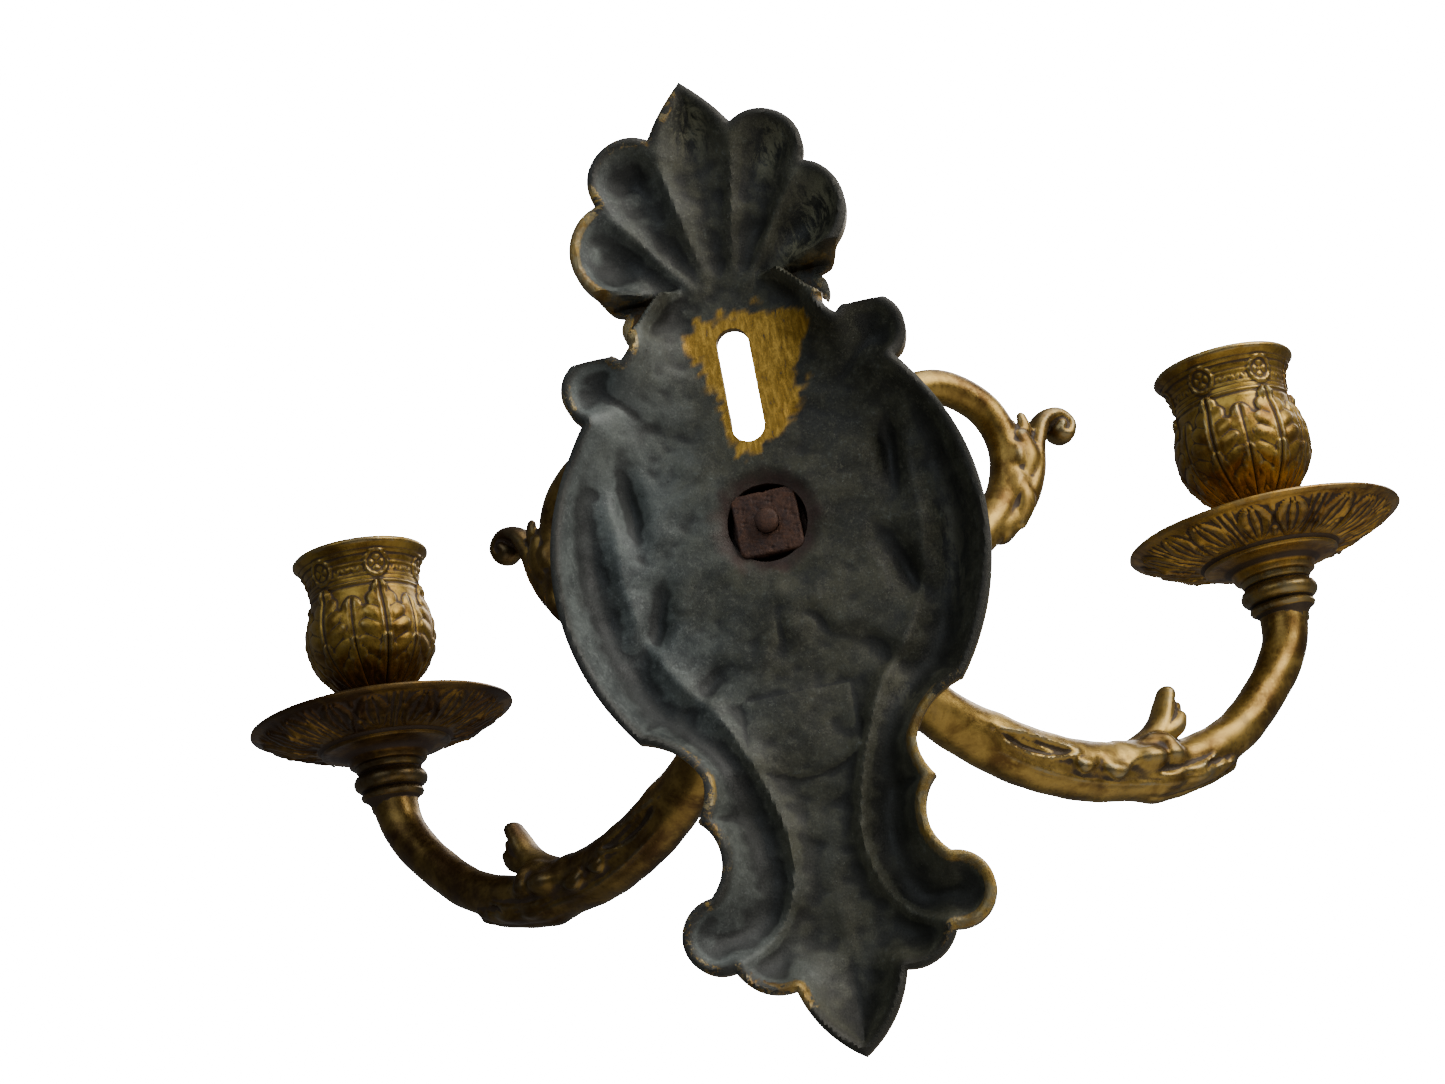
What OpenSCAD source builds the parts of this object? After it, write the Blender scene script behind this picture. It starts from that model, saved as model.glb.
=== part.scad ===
// Two-light wall sconce: a hollow-cast backplate, a pair of scrolled arms held by one central stud,
// and on each arm a drip pan clamped under a screw-on candle cup.
// The front faces -Y and the wall is the plane Y = 0. The origin is the hanging point: on the wall
// plane, on the centreline, at the top of the hanging slot.

/* [Backplate] */
// Height of the backplate, from the pendant's point to the palmette's point
plate_h = 212; // [190:2:240]
// Width of the backplate across its oval body
plate_w = 91; // [82:1:100]
// Thickness of the cast wall
wall = 2.2; // [1.8:0.1:3]
// Depth of the backplate at its domed middle
plate_depth = 13.5; // [12.5:0.5:15]

/* [Hanging slot] */
// Width of the hanging slot
slot_w = 7; // [6:0.5:9]
// End-to-end length of the hanging slot
slot_l = 26; // [20:1:28]

/* [Arms] */
// Distance between the two candle axes
cup_spacing = 219; // [209:1:229]
// Angle by which each arm stands forward of the wall
splay = 34; // [30:1:38]
// Thickness of each arm's half-lapped eye
lap_t = 5; // [4:0.5:6]

/* [Candle cups] */
// Bore of a candle cup
candle_d = 22.4; // [20:0.2:23.4]
// Depth of the candle bore
candle_deep = 26; // [20:1:27]
// Outer diameter of the flared lip
lip_d = 34; // [33:0.5:36]

/* [Drip pans] */
// Outer diameter of a drip pan
pan_d = 64.8; // [60:0.2:70]

/* [Hidden] */
$fn = 64;

gilt = "goldenrod";
aged = "darkgoldenrod";
patina = "darkslategray";
rust = "saddlebrown";

// Radial clearance of a part that turns or slides on its stud
running = 0.05;
// A cut runs this far past the face it opens
past = 1;

// The stud's axis is the datum of the arms; the slot's top is the datum of the whole part
bolt_z = -44;

// Stack along the central stud, from the wall forwards
nut_seat = 17;       // floor of the round well in the plate's back
seat_t = 3.5;        // metal left between the well and the arms
arm_seat = nut_seat + seat_t;
lap_mid = arm_seat + lap_t;
cap_seat = arm_seat + 2 * lap_t;
well_r = 8.6;
boss_r = 10.5;
washer_t = 1;
nut_t = 4.5;
nut_af = 14;         // across flats
stud_r = 2.5;
stud_tail = 2.5;     // stud end standing out behind the nut
cap_h = 12;
cap_r = 8.5;
eye_r = 9;

// Stack along each candle axis, heights above the central stud's axis
collar_low = -22;
pan_low = -13.5;
pan_floor_t = 2.5;
cup_low = pan_low + pan_floor_t;
cup_h = 51.5;
cup_stud_top = 12;   // reach of the cup's stud above the cup's foot
cup_stud_low = 18;   // reach of the cup's stud below the pan
pan_hole_r = stud_r + 0.4;

// Each candle axis: across, and forward of the wall
bend = 4;            // length over which an arm turns from the wall's plane to its splay
cup_x = cup_spacing / 2;
cup_s = cup_x / cos(splay);
function forward(s) = lap_mid + sin(splay) * (sqrt(s * s + bend * bend) - bend);
cup_y = -forward(cup_s);

// ---- Curves -------------------------------------------------------------------------------------

// Centre of the circle through three points
function centre3(a, b, c) =
    let (
        d = 2 * (a.x * (b.y - c.y) + b.x * (c.y - a.y) + c.x * (a.y - b.y)),
        p = a * a, q = b * b, r = c * c
    )
    [(p * (b.y - c.y) + q * (c.y - a.y) + r * (a.y - b.y)) / d,
     (p * (c.x - b.x) + q * (a.x - c.x) + r * (b.x - a.x)) / d];

function heading(v) = atan2(v.y, v.x);
function turn_to(a, b) = (b - a) - 360 * floor((b - a) / 360);

// Points along the arc from a through via to b, without a itself
function arc3(a, via, b, steps) =
    let (
        o = centre3(a, via, b), r = norm(a - o), start = heading(a - o),
        left = turn_to(start, heading(b - o)),
        sweep = turn_to(start, heading(via - o)) < left ? left : left - 360
    )
    [for (i = [1:steps]) let (t = start + sweep * i / steps) o + r * [cos(t), sin(t)]];

// Catmull-Rom curve through points of any dimension
function blend4(a, b, c, d, t) =
    0.5 * (2 * b + (c - a) * t + (2 * a - 5 * b + 4 * c - d) * t * t + (3 * b - a - 3 * c + d) * t * t * t);
function curve(pts, steps) =
    let (n = len(pts) - 1)
    concat([for (i = [0:n - 1], k = [0:steps - 1])
        blend4(pts[max(i - 1, 0)], pts[i], pts[i + 1], pts[min(i + 2, n)], k / steps)], [pts[n]]);

function unit(v) = v / norm(v);

// Closed surface through a stack of equal rings, capped at both ends
module loft(rings) {
    n = len(rings[0]);
    last = (len(rings) - 1) * n;
    polyhedron(
        points = [for (ring = rings, p = ring) p],
        faces = concat(
            [[for (i = [0:n - 1]) i]],
            [for (k = [0:len(rings) - 2], i = [0:n - 1])
                let (j = (i + 1) % n) [k * n + j, k * n + i, (k + 1) * n + i, (k + 1) * n + j]],
            [[for (i = [n - 1:-1:0]) last + i]]));
}

// ---- Backplate ----------------------------------------------------------------------------------

// Right half of the outline, from the palmette's point down: the arcs as [a point on it, its end],
// in millimetres from the stud's axis at the nominal size
plate_top = [0, 99];
plate_arcs = [
    [[5.2, 93.2], [9.2, 87.8]],        // pointed middle lobe
    [[19.5, 87.2], [23, 75]],          // upper lobe
    [[30, 66], [21, 51.3]],            // side lobe
    [[22.9, 47.8], [21.3, 44.2]],      // neck leaf
    [[21.4, 41], [23.3, 38.6]],
    [[35.8, 37.6], [33.6, 26.6]],      // shoulder scroll
    [[45.5, -8], [33.4, -43.6]],       // oval body
    [[25.6, -47.9], [21.9, -53.5]],    // waist
    [[22.5, -58.5], [24.3, -62]],
    [[20.9, -70], [24.3, -77.4]],
    [[31.4, -84], [22.1, -92.7]],      // lower scroll
    [[18.3, -97.1], [11, -98.4]],      // small lobe
    [[6.6, -107.4], [0, -113.4]],      // pendant
];
arc_steps = [3, 6, 7, 3, 3, 7, 12, 5, 3, 5, 7, 4, 4];
function arc_start(i) = i == 0 ? plate_top : plate_arcs[i - 1][1];
plate_half = [for (i = [0:len(plate_arcs) - 1])
    each arc3(arc_start(i), plate_arcs[i][0], plate_arcs[i][1], arc_steps[i])];
half_n = len(plate_half);
plate_k = [plate_w / 91, plate_h / 212.4];
function sized(p) = [p.x * plate_k.x, p.y * plate_k.y + bolt_z];
// Whole outline: down the right side from the top point, then up the left side
outline = concat([sized(plate_top)],
    [for (p = plate_half) sized(p)],
    [for (i = [half_n - 2:-1:0]) sized([-plate_half[i].x, plate_half[i].y])]);

// The outline moved inwards, square to itself
function normal_at(i) =
    let (n = len(outline), t = unit(outline[(i + 1) % n] - outline[(i + n - 1) % n])) [t.y, -t.x];
function inset(d) = [for (i = [0:len(outline) - 1]) outline[i] + d * normal_at(i)];
rim_t = 1.6;         // width of the ground rim that meets the wall
edge_h = 4.5;        // height of the oval's outer edge
tip_drop = 5.5;      // how far the front falls away towards the top and bottom points
fall = plate_depth - edge_h;
dome_r = (pow(plate_w / 2, 2) + fall * fall) / (2 * fall);

// A long barrel whose side forms the domed front, smaller by d for the hollow
module dome(d) {
    reach = plate_h / 2 + 10;
    side = arc3([dome_r - d - tip_drop, -reach], [dome_r - d, 0], [dome_r - d - tip_drop, reach], 12);
    translate([0, dome_r - plate_depth, bolt_z])
        rotate_extrude() polygon(concat([[0, -reach], [dome_r - d - tip_drop, -reach]], side, [[0, reach]]));
}

// The part of the dome that stands over an outline, from y = from forwards
module domed(points, from, d) {
    intersection() {
        translate([0, from, 0]) rotate([90, 0, 0]) linear_extrude(from + plate_depth + past) polygon(points);
        dome(d);
    }
}

module along_y(from, to, r) {
    translate([0, -from, bolt_z]) rotate([90, 0, 0]) cylinder(h = to - from, r = r);
}

module slot_cut() {
    slot_r = slot_w / 2;
    for (z = [-slot_r, slot_r - slot_l])
        translate([0, past, z]) rotate([90, 0, 0]) cylinder(h = plate_depth + 2 * past, r = slot_r);
    translate([-slot_r, -plate_depth - past, slot_r - slot_l])
        cube([slot_w, plate_depth + 2 * past, slot_l - slot_w]);
}

module casting() {
    difference() {
        union() {
            difference() {
                domed(outline, 0, 0);
                domed(inset(rim_t), past, wall);
            }
            along_y(plate_depth - wall / 2, arm_seat, boss_r);
        }
        slot_cut();
        along_y(-past, nut_seat, well_r);
        along_y(nut_seat - past, arm_seat + past, stud_r + 0.2);
    }
}

module backplate() {
    color(patina) difference() {
        casting();
        along_y(-past, arm_seat + past, boss_r);
    }
}

// The boss behind the arms, with the well for the nut
module stud_boss() {
    color(patina) intersection() {
        casting();
        along_y(-past, arm_seat + past, boss_r);
    }
}

module centre_stud() {
    color(rust) along_y(nut_seat - washer_t - nut_t - stud_tail, cap_seat + cap_h / 2, stud_r);
}

module stud_washer() {
    color(rust) difference() {
        along_y(nut_seat - washer_t, nut_seat, well_r - 0.6);
        along_y(nut_seat - washer_t - past, nut_seat + past, stud_r);
    }
}

module square_nut() {
    nut_face = nut_seat - washer_t - nut_t;
    color(rust) difference() {
        intersection() {
            along_y(nut_face, nut_face + nut_t, well_r - 0.4);
            translate([-nut_af / 2, -nut_face - nut_t, bolt_z - nut_af / 2]) cube([nut_af, nut_t, nut_af]);
        }
        along_y(nut_face - past, nut_face + nut_t + past, stud_r);
    }
}

module rosette_cap() {
    profile = curve([[cap_r - 0.6, 0], [cap_r, 1.6], [cap_r - 1.6, 3.4], [4.6, 4.6], [4.9, 7], [4.2, 9.6],
        [2.2, 11.5], [0, cap_h]], 3);
    color(gilt) difference() {
        translate([0, -cap_seat, bolt_z]) rotate([90, 0, 0])
            rotate_extrude() polygon(concat([[0, 0]], profile));
        along_y(cap_seat - past, cap_seat + cap_h / 2, stud_r);
    }
}

// ---- Arms ---------------------------------------------------------------------------------------

// Stations of each sweep: distance out along the arm, height above the stud's axis, radius
main_stations = [
    [11, -11.5, 4.2], [14.5, -21, 4.8], [22, -31.5, 5.4], [33, -42.5, 5.9], [51, -52.8, 6.2], [70, -57.6, 6.2],
    [90, -57, 5.6], [108, -51, 5], [121.5, -40.5, 5], [129.8, -30, 5.3], [132.1, -20.5, 5.8],
];
scroll_stations = [
    [15.5, -5.5, 4.2], [24, -11, 4.3], [38, -9, 4.4], [52, -1, 4.4], [61, 9, 4.2], [64, 20, 4],
    [60.5, 29.5, 4], [51, 35, 4], [41.5, 34, 3.8], [35, 28, 3.5], [35.5, 21, 3.2], [41, 19.5, 3.4], [43, 24, 3.8],
];
curl_stations = [
    [60, 2, 3], [67, 9, 3.2], [71, 17, 2.9], [74.5, 25, 2.2], [79, 28, 2], [82.2, 26, 2.1], [80.5, 22.8, 2.4],
];
spur_stations = [[82, -54.5, 3.6], [88, -49, 3.2], [91.5, -44, 2.4], [93.6, -40, 1.6]];
leaf_stations = [[74, -58.5, 6.2], [84, -58.6, 6.6], [92, -58, 6.2], [96, -57, 5.2]];

arm_k = cup_s / 132.1;
root_s = 12;         // an arm leaves its eye here and has reached its own plane at root_end
root_end = 40;
function root_lean(s, eye_mid) =
    (eye_mid - forward(root_s)) * max(0, min(1, (root_end - s) / (root_end - root_s)));
function place(s, z, eye_mid) = [s * cos(splay), -forward(s) - root_lean(s, eye_mid), z + bolt_z];
function arm_normal() = [sin(splay), cos(splay), 0];

// A round bar of changing radius through stations in the arm's own plane, which leans back at its root
// to the middle of the arm's eye
module bar(stations, steps, sides, eye_mid) {
    path = curve([for (p = stations) [p.x * arm_k, p.y, p.z]], steps);
    spots = [for (p = path) place(p.x, p.y, eye_mid)];
    n = len(spots) - 1;
    loft([for (i = [0:n])
        let (
            t = unit(spots[min(i + 1, n)] - spots[max(i - 1, 0)]),
            u = unit(cross(t, arm_normal())), v = cross(t, u)
        )
        [for (a = [0:sides - 1]) let (q = 360 * a / sides) spots[i] + path[i].z * (u * cos(q) + v * sin(q))]]);
}

// Turned collar that carries the drip pan, on the candle's axis
module collar() {
    profile = [
        [5.6, 0], [7.2, 0], [7.7, 0.6], [7.7, 1.3], [7, 2], [8.2, 2.5], [9, 3.6], [9.1, 4.8], [8.6, 6], [8.1, 6.7],
        [8.3, 7.4], [8.3, pan_low - collar_low], [0, pan_low - collar_low], [0, 0],
    ];
    translate([cup_x, cup_y, bolt_z + collar_low]) rotate_extrude() polygon(profile);
}

// One arm, on the right. Its eye is half the lap thick: lap = 0 against the plate, 1 in front
module arm(lap) {
    eye_y = arm_seat + lap * lap_t;
    mid = eye_y + lap_t / 2;
    color(aged) difference() {
        union() {
            bar(main_stations, 4, 14, mid);
            bar(scroll_stations, 3, 12, mid);
            bar(curl_stations, 3, 10, mid);
            bar(spur_stations, 2, 8, mid);
            bar(leaf_stations, 2, 14, mid);
            collar();
            along_y(eye_y, eye_y + lap_t, eye_r);
            translate([0, -eye_y - lap_t, bolt_z]) rotate([-90, 0, 0]) linear_extrude(lap_t)
                polygon([[3, -4], [12.5, 2], [13, 8], [9, 12.5], [5, 12], [-1, 7]]);
        }
        along_y(eye_y - past, eye_y + lap_t + past, stud_r + running);
        translate([cup_x, cup_y, bolt_z + pan_low - cup_stud_low - past])
            cylinder(h = cup_stud_low + 2 * past, r = stud_r + running);
    }
}

// ---- Candle fittings ----------------------------------------------------------------------------

module drip_pan() {
    rim_r = pan_d / 2;
    under = concat(
        [[pan_hole_r, 0], [9.3, 0], [9.8, 0.5]],
        curve([[9.6, 1.3], [10.6, 2.6], [13, 3.4], [15.8, 3.7]], 3),
        curve([[16.6, 4], [16.6, 4.8], [18.5, 5.3], [23, 6.6], [27.5, 8.5], [rim_r - 1.2, 10.4]], 3));
    rim = [[rim_r - 0.2, 10.9], [rim_r, 11.4], [rim_r - 0.3, 11.9], [rim_r - 1, 12]];
    inside = curve([[rim_r - 1.8, 11.8], [26.8, 9.9], [22.5, 8.2], [18, 6.9], [14.5, 6.2], [11, 5], [9.4, 3.2],
        [9, pan_floor_t]], 3);
    color(gilt) translate([cup_x, cup_y, bolt_z + pan_low])
        rotate_extrude() polygon(concat(under, rim, inside, [[pan_hole_r, pan_floor_t]]));
}

module candle_cup() {
    lip_r = lip_d / 2;
    bore_r = candle_d / 2;
    foot = [[8.3, 0], [8.6, 0.5], [8.6, 1.3]];
    body = curve([[8, 2], [6, 4.4], [5.2, 8], [5.6, 11.5], [7.4, 14.8], [8.3, 16.6], [10.6, 18.8], [13.8, 23],
        [15.4, 27.5], [15.7, 31.5], [15, 35], [14.1, 37.6], [14, 40], [14.3, 44.5], [15.2, 47.8],
        [lip_r - 0.3, 50]], 3);
    lip = [[lip_r, 50.4], [lip_r, 51], [lip_r - 0.5, cup_h], [0, cup_h], [0, 0]];
    color(gilt) translate([cup_x, cup_y, bolt_z + cup_low]) difference() {
        rotate_extrude() polygon(concat(foot, body, lip));
        translate([0, 0, cup_h - candle_deep]) cylinder(h = candle_deep + past, r = bore_r);
        translate([0, 0, -past]) cylinder(h = cup_stud_top + past, r = stud_r + running);
    }
}

module cup_stud() {
    color(aged) translate([cup_x, cup_y, bolt_z + pan_low - cup_stud_low])
        cylinder(h = cup_stud_low + pan_floor_t + cup_stud_top, r = stud_r);
}

module on_left() {
    mirror([1, 0, 0]) children();
}

backplate();
stud_boss();
centre_stud();
stud_washer();
square_nut();
rosette_cap();
on_left() arm(0);  // arm_left
arm(1);  // arm_right
on_left() drip_pan();  // drip_pan_left
drip_pan();  // drip_pan_right
on_left() candle_cup();  // candle_cup_left
candle_cup();  // candle_cup_right
on_left() cup_stud();  // cup_stud_left
cup_stud();  // cup_stud_right
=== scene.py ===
import math

import bmesh
import bpy
import numpy as np
from mathutils import Matrix, Vector


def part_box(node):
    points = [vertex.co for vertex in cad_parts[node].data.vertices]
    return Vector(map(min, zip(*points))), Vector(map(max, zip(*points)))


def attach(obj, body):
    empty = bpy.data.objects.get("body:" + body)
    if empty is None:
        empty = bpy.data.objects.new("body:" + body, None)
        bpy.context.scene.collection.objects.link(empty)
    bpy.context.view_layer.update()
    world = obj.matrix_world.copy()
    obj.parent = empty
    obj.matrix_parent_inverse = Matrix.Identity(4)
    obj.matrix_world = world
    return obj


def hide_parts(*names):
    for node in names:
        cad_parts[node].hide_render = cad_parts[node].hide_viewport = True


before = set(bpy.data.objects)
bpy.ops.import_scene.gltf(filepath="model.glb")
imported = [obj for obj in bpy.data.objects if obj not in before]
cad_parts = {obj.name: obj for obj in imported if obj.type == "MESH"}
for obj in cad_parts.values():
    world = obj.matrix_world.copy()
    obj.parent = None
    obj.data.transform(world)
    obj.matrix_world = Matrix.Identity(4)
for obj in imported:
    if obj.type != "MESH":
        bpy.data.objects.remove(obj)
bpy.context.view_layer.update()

# ---- Sizes, in millimetres unless a name says otherwise ------------------------------------------

MM = 0.001


def corners(node):
    """A CAD node's lowest and highest corners, in millimetres."""
    low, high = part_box(node)
    return low / MM, high / MM


BOSS_LOW = corners("stud_boss")[0]
NUT_LOW, NUT_HIGH = corners("square_nut")
WASHER_LOW, WASHER_HIGH = corners("stud_washer")
STUD_LOW, STUD_HIGH = corners("centre_stud")
CAP_LOW, CAP_HIGH = corners("rosette_cap")
PAN_LOW, PAN_HIGH = corners("drip_pan_right")
CUP_LOW, CUP_HIGH = corners("candle_cup_right")
CUP_STUD_LOW, CUP_STUD_HIGH = corners("cup_stud_right")

AXIS_Z = (NUT_LOW.z + NUT_HIGH.z) / 2      # the central stud's height
STUD_R = (STUD_HIGH.z - STUD_LOW.z) / 2
ARM_SEAT = -BOSS_LOW.y                     # front of the boss, where the arms begin
CAP_SEAT = -CAP_HIGH.y                     # front of the arms, where the cap begins
LAP = (CAP_SEAT - ARM_SEAT) / 2            # thickness of each arm's eye
NUT_SEAT = -WASHER_LOW.y                   # floor of the nut well
CUP_X = (CUP_LOW.x + CUP_HIGH.x) / 2
CUP_Y = (CUP_LOW.y + CUP_HIGH.y) / 2
PAN_R = (PAN_HIGH.x - PAN_LOW.x) / 2
LIP_R = (CUP_HIGH.x - CUP_LOW.x) / 2
CUP_H = CUP_HIGH.z - CUP_LOW.z

WALL = 2.3            # thickness of the cast plate
EDGE = 4.2            # height of the plate's outer edge
DISH = 10.6           # depth of the hollow back
WELL_R = 8.6          # round well for the nut
BOSS_R = 10.4         # thick disc behind the arms
BOSS_BACK = 13.4      # where that disc starts, inside the cast wall
SLOT_W = 7.0          # hanging slot, across
SLOT_L = 26.0         # and along
CANDLE_R = 11.2
CANDLE_DEEP = 26.0
EYE_R = 9.0           # eye at the root of each arm
COLLAR_LOW = -22.0    # foot of the turned collar, from the stud's axis
SPLAY = math.radians(34)   # how far the arms lean out from the wall
BEND = 4.0            # half length of the bend at their roots
THREAD_PITCH = 1.0
SEAT_GAP = 0.02       # hair gap that keeps touching seats from crossing when they turn


# ---- Curves and fields -------------------------------------------------------------------------

def arc(a, via, b, spacing):
    """Points from a, not included, to b along the circle through via."""
    (ax, ay), (bx, by), (cx, cy) = a, via, b
    d = 2 * (ax * (by - cy) + bx * (cy - ay) + cx * (ay - by))
    p, q, r = ax * ax + ay * ay, bx * bx + by * by, cx * cx + cy * cy
    ox = (p * (by - cy) + q * (cy - ay) + r * (ay - by)) / d
    oy = (p * (cx - bx) + q * (ax - cx) + r * (bx - ax)) / d
    radius = math.hypot(ax - ox, ay - oy)
    turn = 2 * math.pi
    start, mid, end = (math.atan2(y - oy, x - ox) for x, y in (a, via, b))
    swing = (end - start) % turn
    if (mid - start) % turn > swing:
        swing -= turn
    steps = max(2, round(radius * abs(swing) / spacing))
    angles = [start + swing * i / steps for i in range(1, steps + 1)]
    return [(ox + radius * math.cos(angle), oy + radius * math.sin(angle)) for angle in angles]


def flowing(points, steps):
    """A Catmull-Rom line through rows of numbers, such as (x, z) or (x, z, radius)."""
    p = np.array(points, float)
    last = len(p) - 1
    out = []
    for i in range(last):
        a, b, c, d = p[max(i - 1, 0)], p[i], p[i + 1], p[min(i + 2, last)]
        for t in np.arange(steps) / steps:
            out.append(0.5 * (2 * b + (c - a) * t + (2 * a - 5 * b + 4 * c - d) * t ** 2
                              + (3 * b - a - 3 * c + d) * t ** 3))
    return np.array(out + [p[-1]])


def along(p, line):
    """For each point of p, its distance to a line and how far along that line it lies, from 0 to 1."""
    line = np.array(line, float)
    best, where = np.full(len(p), 1e9), np.zeros(len(p))
    steps = np.diff(line, axis=0)
    lengths = np.hypot(steps[:, 0], steps[:, 1])
    reached = np.concatenate([[0], np.cumsum(lengths)])
    for a, step, length, done in zip(line, steps, lengths, reached):
        if length < 1e-9:
            continue
        t = np.clip(((p - a) @ step) / length ** 2, 0, 1)
        d = np.hypot(*(p - a - t[:, None] * step).T)
        near = d < best
        best[near], where[near] = d[near], (done + t[near] * length) / reached[-1]
    return best, where


def ease(low, high, value):
    """0 below low, 1 above high, and smooth between them."""
    t = np.clip((value - low) / (high - low), 0, 1)
    return t * t * (3 - 2 * t)


def hump(distance, width):
    """1 at no distance, falling softly to 0."""
    return np.exp(-(distance / width) ** 2)


def stroke(p, points, width, strength=(1, 1)):
    """A soft line of the given width, whose strength goes from its first value to its last."""
    line = flowing(points, 6)
    d, t = along(p, line)
    return hump(d, width) * np.interp(t, np.linspace(0, 1, len(strength)), strength)


def spot(p, centre, half_long, half_wide, tilt):
    """A soft oval mark; tilt is the lean of its long side from upright, in degrees."""
    c, s = math.cos(math.radians(tilt)), math.sin(math.radians(tilt))
    x, z = p[:, 0] - centre[0], p[:, 1] - centre[1]
    return np.exp(-((x * c - z * s) / half_wide) ** 2 - ((x * s + z * c) / half_long) ** 2)


def spots(p, rows):
    """The sum of soft oval marks, each a strength and then what spot takes."""
    return sum(strength * spot(p, *rest) for strength, *rest in rows)


def ripple(p, size, seed, waves=14):
    """Slow unevenness of a hand-finished casting, about -1 to 1: a sum of waves near one wavelength."""
    r = np.random.default_rng(seed)
    total = np.zeros(len(p))
    for _ in range(waves):
        direction = r.normal(size=p.shape[1])
        direction /= np.linalg.norm(direction)
        total += np.sin(p @ direction * 2 * math.pi / (size * r.uniform(0.7,
                                                                        1.5)) + r.uniform(0, 2 * math.pi))
    return total / math.sqrt(waves)


# ---- Mesh helpers ------------------------------------------------------------------------------

def piece_from(bm, name, smooth_angle=40):
    """Makes an object in metres from a bmesh in millimetres."""
    bmesh.ops.scale(bm, verts=bm.verts[:], vec=(MM, MM, MM))
    mesh = bpy.data.meshes.new(name)
    bm.to_mesh(mesh)
    bm.free()
    mesh.shade_smooth()
    mesh.set_sharp_from_angle(angle=math.radians(smooth_angle))
    piece = bpy.data.objects.new(name, mesh)
    bpy.context.scene.collection.objects.link(piece)
    return piece


def settle(piece, smooth_angle=40):
    """Applies a piece's modifiers to its mesh."""
    graph = bpy.context.evaluated_depsgraph_get()
    mesh = bpy.data.meshes.new_from_object(piece.evaluated_get(graph))
    piece.modifiers.clear()
    old = piece.data
    piece.data = mesh
    bpy.data.meshes.remove(old)
    mesh.shade_smooth()
    mesh.set_sharp_from_angle(angle=math.radians(smooth_angle))
    return piece


def cut(piece, tool, how="DIFFERENCE"):
    """Cuts a tool out of a piece, or joins it on, and discards the tool."""
    boolean = piece.modifiers.new("cut", "BOOLEAN")
    boolean.operation = how
    boolean.object = tool
    boolean.solver = "MANIFOLD"
    settle(piece)
    bpy.data.objects.remove(tool)
    return piece


def turned(bm, profile, steps, centre=(0, 0, 0), axis=(0, 0, 1)):
    """Spins a closed (radius, height) profile about an upright axis, then leans that axis as asked."""
    verts = [bm.verts.new((r, 0, h)) for r, h in profile]
    edges = [bm.edges.new((verts[i], verts[i + 1])) for i in range(len(verts) - 1)]
    if profile[0][0] > 0 and profile[-1][0] > 0:
        edges.append(bm.edges.new((verts[-1], verts[0])))
    bmesh.ops.spin(bm, geom=verts + edges, cent=(0, 0, 0), axis=(0, 0, 1), angle=2 * math.pi, steps=steps,
                   use_merge=True)
    bmesh.ops.remove_doubles(bm, verts=bm.verts[:], dist=1e-4)
    bmesh.ops.recalc_face_normals(bm, faces=bm.faces[:])
    lean = Vector((0, 0, 1)).rotation_difference(Vector(axis)).to_matrix().to_4x4()
    bmesh.ops.transform(bm, matrix=Matrix.Translation(centre) @ lean, verts=bm.verts[:])


def rod(radius, start, end, steps=48):
    """A plain cutting rod from start to end."""
    bm = bmesh.new()
    axis = Vector(end) - Vector(start)
    turned(bm, [(0, 0), (radius, 0), (radius, axis.length), (0, axis.length)], steps, start, axis)
    return piece_from(bm, "tool")


def mirrored(bm):
    """Turns a right-hand shape into its left-hand twin."""
    bmesh.ops.scale(bm, verts=bm.verts[:], vec=(-1, 1, 1))
    bmesh.ops.reverse_faces(bm, faces=bm.faces[:])


def shape_of(mesh):
    """Vertex places and normals, as two arrays."""
    count = len(mesh.vertices)
    co, no = np.empty(count * 3, np.float32), np.empty(count * 3, np.float32)
    mesh.vertices.foreach_get("co", co)
    mesh.vertex_normals.foreach_get("vector", no)
    return co.reshape(-1, 3).astype(float), no.reshape(-1, 3).astype(float)


def mark(piece, name, values):
    """Keeps one number per vertex for the finish to read."""
    layer = piece.data.attributes.get(name) or piece.data.attributes.new(name, "FLOAT", "POINT")
    layer.data.foreach_set("value", np.asarray(values, np.float32))


def mark_hollows(piece, rounds=(3, 14), reach=(0.10, 0.5)):
    """Marks how far each point lies below (+) or above (-) its smoothed surroundings, for dirt and wear."""
    mesh = piece.data
    co, no = shape_of(mesh)
    pairs = np.empty(len(mesh.edges) * 2, np.int32)
    mesh.edges.foreach_get("vertices", pairs)
    a, b = pairs.reshape(-1, 2).T
    count = np.bincount(a, minlength=len(co)) + np.bincount(b, minlength=len(co))
    count = np.maximum(count, 1)[:, None]
    soft, done, total = co.copy(), 0, np.zeros(len(co))
    for target, depth in zip(rounds, reach):
        while done < target:
            moved = np.zeros_like(soft)
            for axis in range(3):
                moved[:, axis] = (np.bincount(a, soft[b, axis], len(co)) + np.bincount(b, soft[a, axis],
                                                                                       len(co)))
            soft = 0.35 * soft + 0.65 * moved / count
            done += 1
        total += np.clip(((soft - co) * no).sum(1) / (depth * MM), -1, 1) / len(rounds)
    mark(piece, "hollow", total)


# ---- Backplate ---------------------------------------------------------------------------------

# Right half of the outline from the crest's point down, from the stud's axis: each arc is a point on
# it and its end
CREST = (0, 99)
ARCS = [
    ((5.2, 93.2), (9.2, 87.8)), ((19.5, 87.2), (23, 75)), ((30, 66), (21, 51.3)),
    ((22.9, 47.8), (21.3, 44.2)), ((21.4, 41), (23.3, 38.6)), ((35.8, 37.6), (33.6, 26.6)),
    ((45.5, -8), (33.4, -43.6)), ((25.6, -47.9), (21.9, -53.5)), ((22.5, -58.5), (24.3, -62)),
    ((20.9, -70), (24.3, -77.4)), ((31.4, -84), (22.1, -92.7)), ((18.3, -97.1), (11, -98.4)),
    ((6.6, -107.4), (0, -113.4)),
]
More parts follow.
